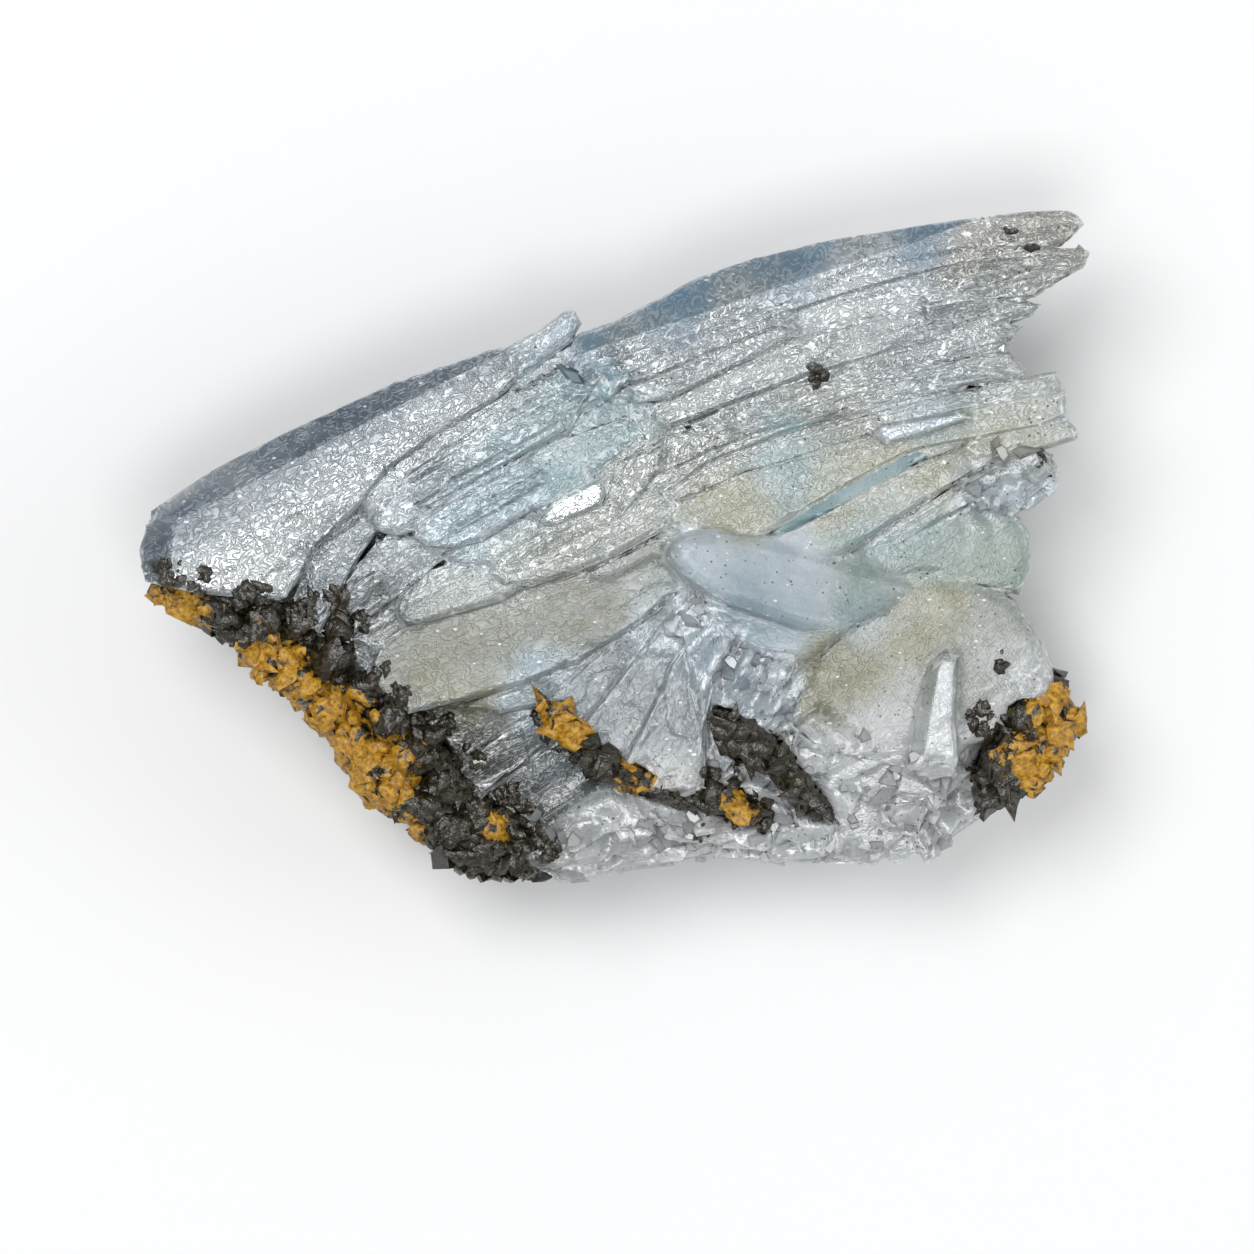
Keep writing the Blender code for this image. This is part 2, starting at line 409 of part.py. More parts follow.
def grain(rng, place, size):
    """An angular iron-oxide grain."""
    bm = bmesh.new()
    bmesh.ops.create_icosphere(bm, subdivisions=1, radius=size * MM)
    shape = (rng.uniform(0.85, 1.25), rng.uniform(0.85, 1.2), rng.uniform(0.7, 1.0))
    for vert in bm.verts:
        vert.co *= rng.uniform(0.84, 1.16)
        vert.co = Vector(length * stretch for length, stretch in zip(vert.co, shape))
    turn = Matrix.Rotation(rng.uniform(0.0, math.tau), 4, rng.choice("XYZ"))
    bmesh.ops.transform(bm, matrix=Matrix.Translation(place) @ turn, verts=bm.verts[:])
    mesh = bpy.data.meshes.new("grain")
    bm.to_mesh(mesh)
    bm.free()
    return mesh


def along_line(stops, spacing):
    """Places along a line of (right, down, height) stops, about spacing millimetres apart."""
    places = []
    for first, second in zip(stops, stops[1:]):
        start, end = sheet_point(first, first[2]), sheet_point(second, second[2])
        count = max(1, round((end - start).length / (spacing * MM)))
        places += [start.lerp(end, step / count) for step in range(count)]
    return places + [sheet_point(stops[-1], stops[-1][2])]


def row_of_grains(rng, size, stops):
    """Grains of mixed sizes, about size millimetres in radius, standing in a crust along a line."""
    grains = []
    for place in along_line(stops, size * GRAIN_SPACING):
        jitter = Vector(rng.uniform(-GRAIN_JITTER, GRAIN_JITTER) for axis in range(3)) * MM
        grains.append(grain(rng, place + jitter, size * rng.uniform(0.85, 1.2)))
    return grains


def edge_crust(rng):
    """The thick crust on the broken lower left edge, from its front down its outer wall."""
    body = [(15.2, 58.2), (16.4, 60.6), (20.0, 61.4), (21.2, 63.2), (25.2, 66.0), (29.8, 70.2),
            (33.8, 74.4), (37.2, 80.4), (44.0, 84.8), (46.8, 87.2), (54.0, 88.0), (55.6, 86.8),
            (51.4, 82.2), (46.8, 78.2), (43.0, 73.8), (40.0, 69.4), (36.6, 66.0), (34.0, 62.4),
            (27.0, 60.0), (21.0, 58.6)]
    rows = [
        (2.1, [(22.6, 60.8, 25.4), (33.8, 62.6, 24.6)]),
        (2.3, [(24.6, 63.6, 23.4), (30.4, 68.4, 22.8), (37.4, 76.4, 20.6), (44.6, 82.8, 18.6), (51.8, 85.6, 17.8)]),
        (2.1, [(33.2, 65.4, 23.8), (39.0, 72.0, 22.4), (44.6, 78.0, 20.4)]),
    ]
    meshes = [rough(crystal(body, 21.8, (-0.10, 0.15), 14.0, 0.8, -0.08), rng, 3.9, 0.8)]
    for size, stops in rows:
        meshes += row_of_grains(rng, size, stops)
    return meshes


def corner_crust(rng):
    """The ochre crust that wraps the right corner."""
    body = [(103.0, 68.6), (105.4, 67.4), (106.8, 68.6), (107.2, 70.8), (108.5, 72.6), (107.2, 74.8),
            (105.4, 77.6), (101.6, 80.0), (98.8, 81.0), (97.8, 77.4), (98.8, 74.0), (100.8, 71.0)]
    rows = [
        (1.6, [(105.6, 69.8, 22.4), (106.0, 73.4, 21.8)]),
        (1.7, [(102.4, 71.6, 23.2), (99.6, 76.4, 22.8)]),
    ]
    meshes = [rough(crystal(body, 22.4, (-0.08, 0.03), 9.0, 0.7, -0.10), rng, 3.0, 0.45)]
    for size, stops in rows:
        meshes += row_of_grains(rng, size, stops)
    return meshes


def left_vein(rng):
    """The ragged vein that borders the foot of the fan and bends to the right."""
    body = [(53.8, 70.0), (56.2, 70.6), (57.6, 72.6), (59.6, 75.0), (62.4, 76.2), (66.0, 77.4),
            (70.0, 78.2), (75.0, 79.8), (76.2, 81.6), (73.0, 81.6), (69.0, 80.4), (64.6, 79.6),
            (60.8, 78.2), (57.8, 76.0), (55.0, 73.2)]
    return [rough(crystal(body, 25.2, (-0.07, 0.06), 5.0, 0.5, -0.05), rng, 2.6, 0.35)] + row_of_grains(
        rng, 1.35, [(56.0, 72.0, 25.5), (60.4, 76.4, 25.4)])


def right_vein(rng):
    """The dark ragged vein between the fan and the straw-coloured face."""
    body = [(71.4, 70.8), (73.2, 71.2), (75.8, 73.6), (78.4, 74.4), (79.4, 76.6), (81.8, 79.2),
            (83.0, 81.8), (81.8, 82.2), (79.8, 80.2), (78.0, 77.8), (75.8, 76.4), (73.2, 75.4),
            (72.0, 72.8)]
    return [rough(crystal(body, 25.6, (-0.02, 0.14), 4.5, 0.5, -0.05), rng, 2.6, 0.35)]


def bed(mesh):
    """The mesh grown outwards by the clearance, to cut a bed for it."""
    bm = bmesh.new()
    bm.from_mesh(mesh)
    bm.normal_update()
    moves = [vert.normal * min(vert.calc_shell_factor(), 1.6) * CRUST_GAP * MM for vert in bm.verts]
    for vert, move in zip(bm.verts, moves):
        vert.co += move
    grown = bpy.data.meshes.new("bed")
    bm.to_mesh(grown)
    bm.free()
    return grown


def linked(name, mesh, collection, surface=None):
    made = bpy.data.objects.new(name, mesh)
    collection.objects.link(made)
    if surface:
        mesh.materials.append(surface)
    return made


def helpers(name, meshes):
    """The meshes as hidden helper objects in a collection of their own."""
    group = bpy.data.collections.new(name)
    bpy.context.scene.collection.children.link(group)
    for mesh in meshes:
        helper = linked(name + "_helper", mesh, group)
        helper.hide_render = True
        helper.display_type = "WIRE"
    return group


def add_boolean(target, operation, group):
    modifier = target.modifiers.new(operation.lower(), "BOOLEAN")
    modifier.operation = operation
    modifier.operand_type = "COLLECTION"
    modifier.collection = group
    modifier.solver = "EXACT"


def fused(name, meshes, collection, surface):
    """One object grown together from all the meshes."""
    made = linked(name, meshes[0], collection, surface)
    add_boolean(made, "UNION", helpers(name + "_pieces", meshes[1:]))
    return made


def main():
    clear_scene()
    cluster = bpy.data.collections.new("blue_barite_specimen")
    bpy.context.scene.collection.children.link(cluster)
    barite = material("pale_blue_barite", (0.55, 0.64, 0.68), 0.22)
    iron = material("ochre_and_black_iron_oxide", (0.16, 0.10, 0.04), 0.45)
    crystals = (core() + upper_left_blade() + crack_blades() + blue_shingles() + green_recess()
                + top_right_sheaf() + silver_laths() + broad_green_face() + vein_fan() + nose() + right_fan()
                + lower_right_mass() + broken_foot())
    blades = fused("barite_cluster", crystals, cluster, barite)
    crusts = {"iron_crust_edge": edge_crust, "iron_crust_corner": corner_crust, "iron_vein_left": left_vein,
              "iron_vein_right": right_vein}
    for name, pieces in crusts.items():
        meshes = pieces(random.Random(SEED))
        beds = helpers(name + "_beds", [bed(mesh) for mesh in meshes])
        fused(name, meshes, cluster, iron)
        add_boolean(blades, "DIFFERENCE", beds)


main()
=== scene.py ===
# %% [markdown]
# # A fan of blue barite blades, lying on a pale table
#
# Barite grows as flat, heavy blades. Here they start from one side and fan out to the upper right, so
# the cluster looks like a shut bird's wing. Where the blades broke off their wall, black and ochre iron
# oxide has crusted over them. The solids give the blades' real shapes. This script gives them their
# skin: growth laths, frosted and mirror-bright faces, the drift of blue, green and straw in the mineral,
# and the grit of the crusts.

import math

import bmesh
import bpy
import numpy as np
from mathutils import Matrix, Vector, noise
from mathutils.bvhtree import BVHTree


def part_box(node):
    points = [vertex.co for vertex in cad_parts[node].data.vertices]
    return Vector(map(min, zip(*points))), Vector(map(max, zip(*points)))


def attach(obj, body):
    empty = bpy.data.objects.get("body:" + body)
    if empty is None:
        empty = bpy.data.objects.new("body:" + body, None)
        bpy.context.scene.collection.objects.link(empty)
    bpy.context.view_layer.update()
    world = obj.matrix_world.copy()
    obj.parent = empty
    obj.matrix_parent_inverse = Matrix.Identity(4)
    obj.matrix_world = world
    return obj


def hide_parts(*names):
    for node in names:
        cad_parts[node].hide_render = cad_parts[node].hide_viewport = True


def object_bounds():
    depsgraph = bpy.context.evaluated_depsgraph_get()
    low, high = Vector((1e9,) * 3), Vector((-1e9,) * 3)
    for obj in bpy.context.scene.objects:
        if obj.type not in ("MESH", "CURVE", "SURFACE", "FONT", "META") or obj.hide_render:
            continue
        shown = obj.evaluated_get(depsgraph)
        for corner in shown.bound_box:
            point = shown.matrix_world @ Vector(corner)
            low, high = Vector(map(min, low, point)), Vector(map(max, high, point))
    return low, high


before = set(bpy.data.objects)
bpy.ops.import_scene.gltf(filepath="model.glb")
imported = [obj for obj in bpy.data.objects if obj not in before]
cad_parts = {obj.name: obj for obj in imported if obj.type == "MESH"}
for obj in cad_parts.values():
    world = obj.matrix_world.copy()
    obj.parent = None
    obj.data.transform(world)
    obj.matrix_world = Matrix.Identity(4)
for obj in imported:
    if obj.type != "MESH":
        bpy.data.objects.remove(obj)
box_at_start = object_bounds()
MM = 0.001
print("solids:", sorted(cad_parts))

# %% [markdown]
# ## Places on the specimen
#
# All places are read off a drawing sheet that lies over the front of the cluster, in millimetres: the
# first number runs to the right and the second down. Working in the sheet's own numbers keeps the lists
# of places short, and one function turns them into metres.

# %% The drawing sheet
SHEET_MIDDLE = (61.2, 54.8)


def sheet(right, down, height=0.0):
    """A place on the drawing sheet, and its height above the table, as metres."""
    return Vector(((right - SHEET_MIDDLE[0]) * MM, (SHEET_MIDDLE[1] - down) * MM, height * MM))


low, high = (Vector(corner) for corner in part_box("barite_cluster"))
print("the barite is", [round(side / MM, 1) for side in high - low], "mm")

# %% [markdown]
# ## A short way to write node trees
#
# Materials and Geometry Nodes are both trees of nodes. Placing every node by hand takes many lines, so
# one small class wraps a socket and adds, multiplies and compares it like a number, and another adds
# any node in one call: first its settings, then the values or links of its sockets.


# %% Sockets that calculate
class Wire:
    """An output socket that can be used in ordinary arithmetic."""

    def __init__(self, tree, socket):
        self.tree, self.socket = tree, socket

    def maths(self, operation, *others):
        sockets = {0: self, **dict(enumerate(others, 1))}
        return self.tree.add("ShaderNodeMath", {"operation": operation}, sockets)

    def __add__(self, other):
        return self.maths("ADD", other)

    def __mul__(self, other):
        return self.maths("MULTIPLY", other)

    def __sub__(self, other):
        return self.maths("SUBTRACT", other)

    def __rsub__(self, other):
        return self.maths("MULTIPLY", -1.0) + other

    def __gt__(self, other):
        return self.maths("GREATER_THAN", other)

    def __lt__(self, other):
        return self.maths("LESS_THAN", other)

    __radd__ = __add__
    __rmul__ = __mul__

    def between(self, low_end, high_end):
        """0 at low_end, 1 at high_end, and smooth in between."""
        return self.tree.add("ShaderNodeMapRange", {"interpolation_type": "SMOOTHSTEP"},
                             {"Value": self, "From Min": low_end, "From Max": high_end})

    def outputs(self, *names):
        """Other outputs of the same node."""
        return [Wire(self.tree, self.socket.node.outputs[name]) for name in names]


class Tree:
    """A material's or a modifier's node tree, with one method that adds any node."""

    def __init__(self, nodes):
        self.group = nodes

    def add(self, kind, settings=None, sockets=None, out=0):
        node = self.group.nodes.new(kind)
        for name, value in (settings or {}).items():
            setattr(node, name, value)
        for key, value in (sockets or {}).items():
            if isinstance(value, Wire):
                self.group.links.new(value.socket, node.inputs[key])
            else:
                node.inputs[key].default_value = value
        return Wire(self, node.outputs[out]) if node.outputs else node


# %% [markdown]
# ## The barite's colours, with some painted light and shade
#
# The cluster isn't one blue. The thick blade at the upper left is slate and silver, the short blades
# beside it are powder blue, the broad lower faces drift to moss and straw, and the broken foot is nearly
# white. A list of named spots says so. Each spot has a place, a colour as it looks in studio light, the
# kind of skin its faces have, and which way their growth lines lean, in degrees above level. Some tints
# are partly painted light. The pale silver and mirror tints are partly a painted reflection of the soft
# boxes. The dark tints in the crack and on the sunken faces below the broad lower faces are partly
# painted shade, where one blade lies in another's shadow.

# %% Colours, skins and spots
# Painted light in the palette: silver and mirror are partly painted reflection, and the crack and dark tints
# are partly painted shade.
COLOURS = {
    "slate": "#405668", "edge": "#8f969e", "silver": "#b4babd", "crack": "#48555d", "powder": "#97b1ba",
    "sea": "#84a3a9", "wave": "#62859c", "pewter": "#a3a9ab", "tip": "#9c978a", "pearl": "#a3a79f",
    "moss": "#74765f", "fern": "#838779", "dark": "#403f35", "ash": "#626a6e", "ice": "#c2ced6",
    "haze": "#98acb6", "beige": "#a8a78e", "teal": "#37797f", "aqua": "#9ab6c2",
    "sage": "#9aac9f", "foam": "#bccad4", "straw": "#817d52", "gold": "#8c844c", "chalk": "#c6c8c8",
    "veil": "#8b9398", "white": "#d2d6d8", "mirror": "#d0d4d6",
}
COLOUR_SHADE = 0.72  # the bare mineral's share of the colour that it shows in studio light
SKINS = {  # etched, frosted, silver, lathed, chunky
    "band": (0.45, 0.45, 0.10, 0.05, 0.0), "wrinkled": (1.0, 0.05, 0.95, 0.06, 0.0),
    "engraved": (1.0, 0.12, 0.45, 0.16, 0.0), "lathed": (0.8, 0.20, 0.35, 0.60, 0.0),
    "shingle": (0.7, 0.25, 0.25, 0.35, 0.0), "milky": (0.25, 0.45, 0.04, 0.05, 0.0),
    "frosted": (0.12, 0.60, 0.03, 0.0, 0.0), "cracked": (0.6, 0.28, 0.28, 0.8, 0.0),
    "icy": (0.22, 0.30, 0.16, 0.1, 1.0), "foamy": (0.3, 0.30, 0.20, 0.2, 0.8),
    "fibrous": (0.3, 0.40, 0.08, 0.25, 0.12), "plain": (0.30, 0.28, 0.08, 0.12, 0.0),
    "glassy": (0.45, 0.05, 0.85, 0.0, 0.0), "clear": (0.15, 0.12, 0.30, 0.0, 0.0),
}
SPOTS = [  # right, down, colour, skin, lean
    (16, 50.3, "edge", "band", 38), (22, 45.8, "edge", "band", 34), (30, 41.6, "slate", "band", 30),
    (16.5, 54.6, "slate", "band", 38), (21, 51.4, "slate", "band", 33), (25.2, 48.4, "slate", "band", 32),
    (30, 45, "slate", "band", 30), (36, 41.8, "slate", "band", 27), (42, 39, "slate", "band", 26),
    (47.5, 36.8, "slate", "band", 26), (18.5, 57.4, "pewter", "wrinkled", 12),
    # Painted reflection: the silver spots here and on the big sheaf are lighter partly to stand in for the
    # soft boxes' reflection, besides their metallic share.
    (23, 55.4, "silver", "wrinkled", 36), (28, 52.2, "silver", "wrinkled", 34),
    (33.5, 48.6, "silver", "wrinkled", 33), (39, 45.4, "silver", "wrinkled", 31),
    (44.5, 42.2, "silver", "wrinkled", 30), (49, 39.6, "pewter", "engraved", 30),
    (27, 57, "pewter", "wrinkled", 40), (32.5, 53.6, "veil", "wrinkled", 38),
    (37.5, 49.4, "veil", "wrinkled", 33), (55, 33.5, "ice", "shingle", 35),
    # The crack spots are partly a dark slate side and partly painted shade, where the thick blade's edge
    # shadows the groove.
    (31, 59, "crack", "cracked", 42), (36, 53.5, "crack", "cracked", 38),
    (43, 46.8, "crack", "cracked", 33), (38, 60, "ash", "cracked", 32),
    (41.5, 56, "pewter", "lathed", 33), (40, 50.4, "powder", "shingle", 33),
    (38.6, 52, "ice", "shingle", 33), (43, 54.2, "ice", "shingle", 33),
    (46, 47.5, "powder", "shingle", 31), (51, 43, "powder", "shingle", 30),
    (55, 39.5, "sea", "shingle", 30), (50, 50, "powder", "shingle", 31), (47, 54, "aqua", "shingle", 33),
    (56, 46, "sea", "plain", 27), (61, 42, "sea", "plain", 27), (60, 38, "powder", "foamy", 30),
    (60, 34.6, "wave", "band", 26), (68, 30.5, "wave", "band", 24), (78, 26.8, "wave", "band", 16),
    (90, 24, "wave", "band", 10), (66, 34.5, "pewter", "engraved", 26),
    (76, 30.5, "pewter", "engraved", 21), (86, 27.5, "silver", "engraved", 16),
    (96, 25, "tip", "engraved", 9), (104.5, 23, "tip", "shingle", 8), (102, 28, "pearl", "lathed", 12),
    (76, 35, "pewter", "engraved", 22), (90, 31.5, "silver", "engraved", 15),
    (99, 31, "pewter", "lathed", 12), (92, 37.6, "pewter", "lathed", 14),
    (72, 39, "pewter", "engraved", 24), (86, 36, "pewter", "engraved", 17),
    (97, 35, "pewter", "lathed", 13), (64, 47.5, "pearl", "engraved", 30),
    (72, 44.4, "pearl", "engraved", 24), (84, 41, "pearl", "lathed", 17),
    (97, 37.6, "pewter", "lathed", 14), (52, 56, "pearl", "shingle", 26),
    (60, 53.5, "pearl", "shingle", 26), (66, 51, "pearl", "plain", 26), (46, 59, "pearl", "plain", 25),
    (40, 65, "fern", "milky", 27), (47, 64.5, "moss", "milky", 27), (57, 61, "moss", "milky", 28),
    (64, 57, "fern", "milky", 30), (45, 69, "straw", "milky", 27), (36, 66, "ash", "lathed", 28),
    # The dark spots are partly the sunken faces' own dark grey-brown and partly painted shade, where the
    # broad lower face above shadows them.
    (55, 68.8, "haze", "plain", 28), (66, 61.5, "haze", "plain", 35), (43, 72.5, "dark", "cracked", 30),
    (48, 77, "dark", "cracked", 28), (53, 82, "dark", "cracked", 28), (56.5, 77, "ash", "cracked", 35),
    (59, 68.5, "veil", "fibrous", 50), (64, 71, "veil", "fibrous", 63), (69, 72, "veil", "fibrous", 85),
    (68, 62.5, "foam", "foamy", 60), (73, 66, "foam", "foamy", 60), (76, 71, "foam", "foamy", 40),
    (70, 55.5, "ice", "frosted", -12), (79, 57, "ice", "frosted", -18),
    (76, 60.6, "haze", "frosted", -20), (87, 60, "haze", "milky", -20), (80, 45.6, "sea", "plain", 18),
    (94, 40.5, "aqua", "plain", 14), (104, 38.4, "pearl", "plain", 14), (74, 50, "beige", "plain", 22),
    (84, 46.8, "beige", "plain", 20), (96, 42.4, "beige", "plain", 16), (104, 40.8, "pearl", "plain", 15),
    (91, 50, "beige", "plain", 28), (100, 44.6, "beige", "plain", 20), (91, 53.2, "aqua", "plain", 30),
    (100, 48.5, "foam", "foamy", 40), (92, 55.8, "sage", "milky", 30), (101, 55, "sage", "milky", 30),
    (87, 58.2, "sage", "milky", 32), (84, 68, "straw", "milky", 35), (92, 62, "gold", "milky", 35),
    (100, 63, "pearl", "milky", 38), (95.5, 67.5, "pearl", "milky", 36),
    (102.5, 69, "chalk", "fibrous", 42), (99, 74, "chalk", "fibrous", 45),
    (88, 73.5, "chalk", "milky", 30), (80, 75, "white", "icy", 30), (60, 84, "chalk", "icy", 12),
    (68, 83, "chalk", "icy", 12), (77, 81.5, "white", "icy", 10), (90, 80, "chalk", "icy", 15),
    (66, 79, "chalk", "fibrous", 30), (86, 77.5, "white", "icy", 30),
]
SPOT_REACH = 3.0  # how far a spot's values spread, in millimetres
BATCH = 20000  # how many places are blended at a time
# Where each value stands in a spot's row. Frosted is one of the skin's three.
TINT, SKIN, LATHED, FROSTED, CHUNKY, LEAN = slice(0, 3), slice(3, 6), 6, 4, 7, slice(8, 10)


def linear(code):
    """A colour code as the linear light that a shader wants."""
    parts = [int(code[i:i + 2], 16) / 255 for i in (1, 3, 5)]
    return [part / 12.92 if part <= 0.04045 else ((part + 0.055) / 1.055) ** 2.4 for part in parts]


def spot_row(colour, skin, lean=0.0):
    """The tint, the skin and the lean's direction as one row of numbers."""
    tint = [part * COLOUR_SHADE for part in linear(COLOURS[colour])]
    return [*tint, *SKINS[skin], math.cos(math.radians(lean)), math.sin(math.radians(lean))]


spot_places = np.array([sheet(*spot[:2])[:2] for spot in SPOTS]) / MM
spot_values = np.array([spot_row(*spot[2:]) for spot in SPOTS])


def blend_spots(places):
    """Tint, skin and lean at each place, given in millimetres, from the spots near it."""
    result = np.empty((len(places), spot_values.shape[1]))
    for first in range(0, len(places), BATCH):
        part = places[first:first + BATCH, :2]
        apart = ((part[:, None, :] - spot_places[None, :, :]) ** 2).sum(axis=2)
        apart -= apart.min(axis=1, keepdims=True)
        weight = np.exp(-apart / SPOT_REACH ** 2)
        result[first:first + BATCH] = weight @ spot_values / weight.sum(axis=1, keepdims=True)
    return result


print(len(SPOTS), "spots in", len(COLOURS), "colours and", len(SKINS), "skins")

# %% [markdown]
# ## Finding the crystal faces
#
# The frame's meshes are loose triangles. A merged copy brings them together again, and a walk from
# each triangle to its neighbours over flat edges finds the crystals' faces. Knowing them matters: a
# face of a real crystal has one tint and one set of growth lines, which stop dead at its edges.


# %% Merge the copy and number its faces
def merged_copy(node):
    """A bmesh of a CAD node with its corners welded together."""
    bm = bmesh.new()
    bm.from_mesh(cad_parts[node].data)
    bmesh.ops.remove_doubles(bm, verts=bm.verts[:], dist=1e-6)
    bm.normal_update()
    return bm


def number_faces(bm, flat=2.0):
    """Gives every triangle the number of the flat crystal face that it belongs to."""
    layer = bm.faces.layers.int.new("crystal_face")
    count = 0
    for start in bm.faces:
        if start[layer]:
            continue
        count += 1
        start[layer] = count
        waiting = [start]
        while waiting:
            here = waiting.pop()
            for edge in here.edges:
                for other in edge.link_faces:
                    if not other[layer] and other.normal.angle(start.normal, 1.0) < math.radians(flat):
                        other[layer] = count
                        waiting.append(other)
    return count


barite = merged_copy("barite_cluster")
face_count = number_faces(barite)
print(len(barite.faces), "triangles in", face_count, "crystal faces")

# %% [markdown]
# ## Making room for relief
#
# Growth laths are fine steps, a few tenths of a millimetre high, so the mesh needs corners about every
# half millimetre. A subdivision surface would round the blades off. Halving every edge that is too
# long, again and again, keeps them sharp. The front gets the finest mesh and the underside a coarser one.

# %% Halve the long edges
FINEST_EDGE = 0.52
COARSEST_EDGE = 1.3
SPREAD = 1.35  # halved edges end up between 0.5 and 1 times the longest, so the longest may be longer
FINE_FACING = 0.5  # faces that look up more than this get the finest mesh


def refine(bm, longest):
    """Halves edges until none is longer than longest(edge)."""
    for halving in range(9):
        too_long = [edge for edge in bm.edges if edge.calc_length() > longest(edge)]
        if not too_long:
            break
        bmesh.ops.subdivide_edges(bm, edges=too_long, cuts=1)
        broken = [face for face in bm.faces if len(face.verts) > 3]
        bmesh.ops.triangulate(bm, faces=broken, quad_method="SHORT_EDGE", ngon_method="BEAUTY")
    bm.normal_update()


def front_is_fine(edge):
    facing = max(face.normal.z for face in edge.link_faces)
    share = min(1.0, max(0.0, facing / FINE_FACING))
    return (COARSEST_EDGE + (FINEST_EDGE - COARSEST_EDGE) * share) * SPREAD * MM


refine(barite, front_is_fine)
print(len(barite.faces), "triangles after halving")

# %% [markdown]
# ## Closing the blades up
#
# The solids stand apart like loose shingles, but real blades grow into each other until only a fine
# groove is left between them. A grid of the front's heights finds the gaps: first each cell takes the
# highest value near it, then the lowest of those. That fills whatever is narrower than the reach and
# leaves wide steps alone. Corners that lie in a filled gap are lifted, all but the groove's depth. Then
# they are smoothed, and so are the edges of the most frosted faces, which are rounded in the real mineral.

# %% Fill the gaps
CELL = 0.4  # a grid cell's side; this and the lengths below are in millimetres
GAP_REACH = 4  # in cells
GROOVE = 0.06  # how far below the filled height a lifted corner stays
HIGHEST_LIFT = 5.0
FRONT_FACING = 0.1  # corners that look up more than this belong to the front
GAP_SOFT_TIMES = 2
SOFT_FROM = 0.36  # skins more frosted than this have rounded edges
SOFT_TIMES = 9
DOWN, UP = Vector((0, 0, -1)), Vector((0, 0, 1))


def front_heights(bm):
    """The front's height over each cell of a grid, in millimetres, and 0 beside the cluster."""
    tree = BVHTree.FromBMesh(bm)
    columns, rows = (int((high[axis] - low[axis]) / MM / CELL) + 2 for axis in (0, 1))
    heights = np.zeros((columns, rows))
    for column in range(columns):
        for row in range(rows):
            start = Vector((low.x + column * CELL * MM, low.y + row * CELL * MM, high.z + 5 * MM))
            hit = tree.ray_cast(start, DOWN)[0]
            heights[column, row] = hit.z / MM if hit else 0.0
    return heights, tree


def extreme_nearby(heights, reach, choose):
    """Each cell takes the highest or the lowest value within reach cells of it."""
    wide = np.pad(heights, reach)
    result = heights.copy()
    for right in range(2 * reach + 1):
        for up in range(2 * reach + 1):
            if (right - reach) ** 2 + (up - reach) ** 2 <= reach ** 2 + 1:
                result = choose(result, wide[right:right + len(heights), up:up + heights.shape[1]])
    return result


def close_up(bm):
    """Lifts the corners that lie in narrow gaps, and says by how many millimetres."""
    heights, blades_tree = front_heights(bm)
    filled = extreme_nearby(extreme_nearby(heights, GAP_REACH, np.maximum), GAP_REACH + 1, np.minimum)
    crust_trees = [BVHTree.FromPolygons([vert.co for vert in node.data.vertices],
                                        [tuple(face.vertices) for face in node.data.polygons])
                   for name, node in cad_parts.items() if name != "barite_cluster"]
    lifts = np.zeros(len(bm.verts))
    for number, vert in enumerate(bm.verts):
        column, row = (round((vert.co[axis] - low[axis]) / MM / CELL) for axis in (0, 1))
        lift = filled[column, row] - GROOVE - vert.co.z / MM
        if 0.0 < lift < HIGHEST_LIFT:
            start = vert.co + vert.normal * 0.02 * MM + UP * 0.05 * MM
            if not any(tree.ray_cast(start, UP)[0] for tree in (blades_tree, *crust_trees)):
                lifts[number] = lift
    for vert, lift in zip(bm.verts, lifts):
        vert.co.z += lift * MM
    return lifts


def soften(bm, verts, times):
    """Rounds off the edges between these corners, a little each time."""
    for round_number in range(times):
        bmesh.ops.smooth_vert(bm, verts=verts, factor=0.4, use_axis_x=True, use_axis_y=True, use_axis_z=True)
    bm.normal_update()


lifted_by = close_up(barite)
front = [vert for vert, lift in zip(barite.verts, lifted_by) if vert.normal.z > FRONT_FACING or lift > 0.0]
soften(barite, [vert for vert, lift in zip(barite.verts, lifted_by) if lift > 0.0], GAP_SOFT_TIMES)
frost = blend_spots(np.array([vert.co for vert in front]) / MM)[:, FROSTED]
soften(barite, [vert for vert, share in zip(front, frost) if share > SOFT_FROM], SOFT_TIMES)
print((lifted_by > 0).sum(), "corners lifted, by up to", round(lifted_by.max(), 1), "mm")

# %% [markdown]
# ## Which way each face grew
#
# The growth lines of a face follow the lean of the spots around it. Along a long blade the lean turns a
# little, and in a fan it differs from side to side. For each crystal face a small least-squares fit finds
# both turns. They give every place on the face two coordinates, along its growth lines and across them,
# that bend with the blade.

# %% Along and across each face
STIFFNESS = 2.0  # holds the fit steady on narrow faces
MOST_BEND, MOST_FAN = 0.03, 0.05  # radians a millimetre


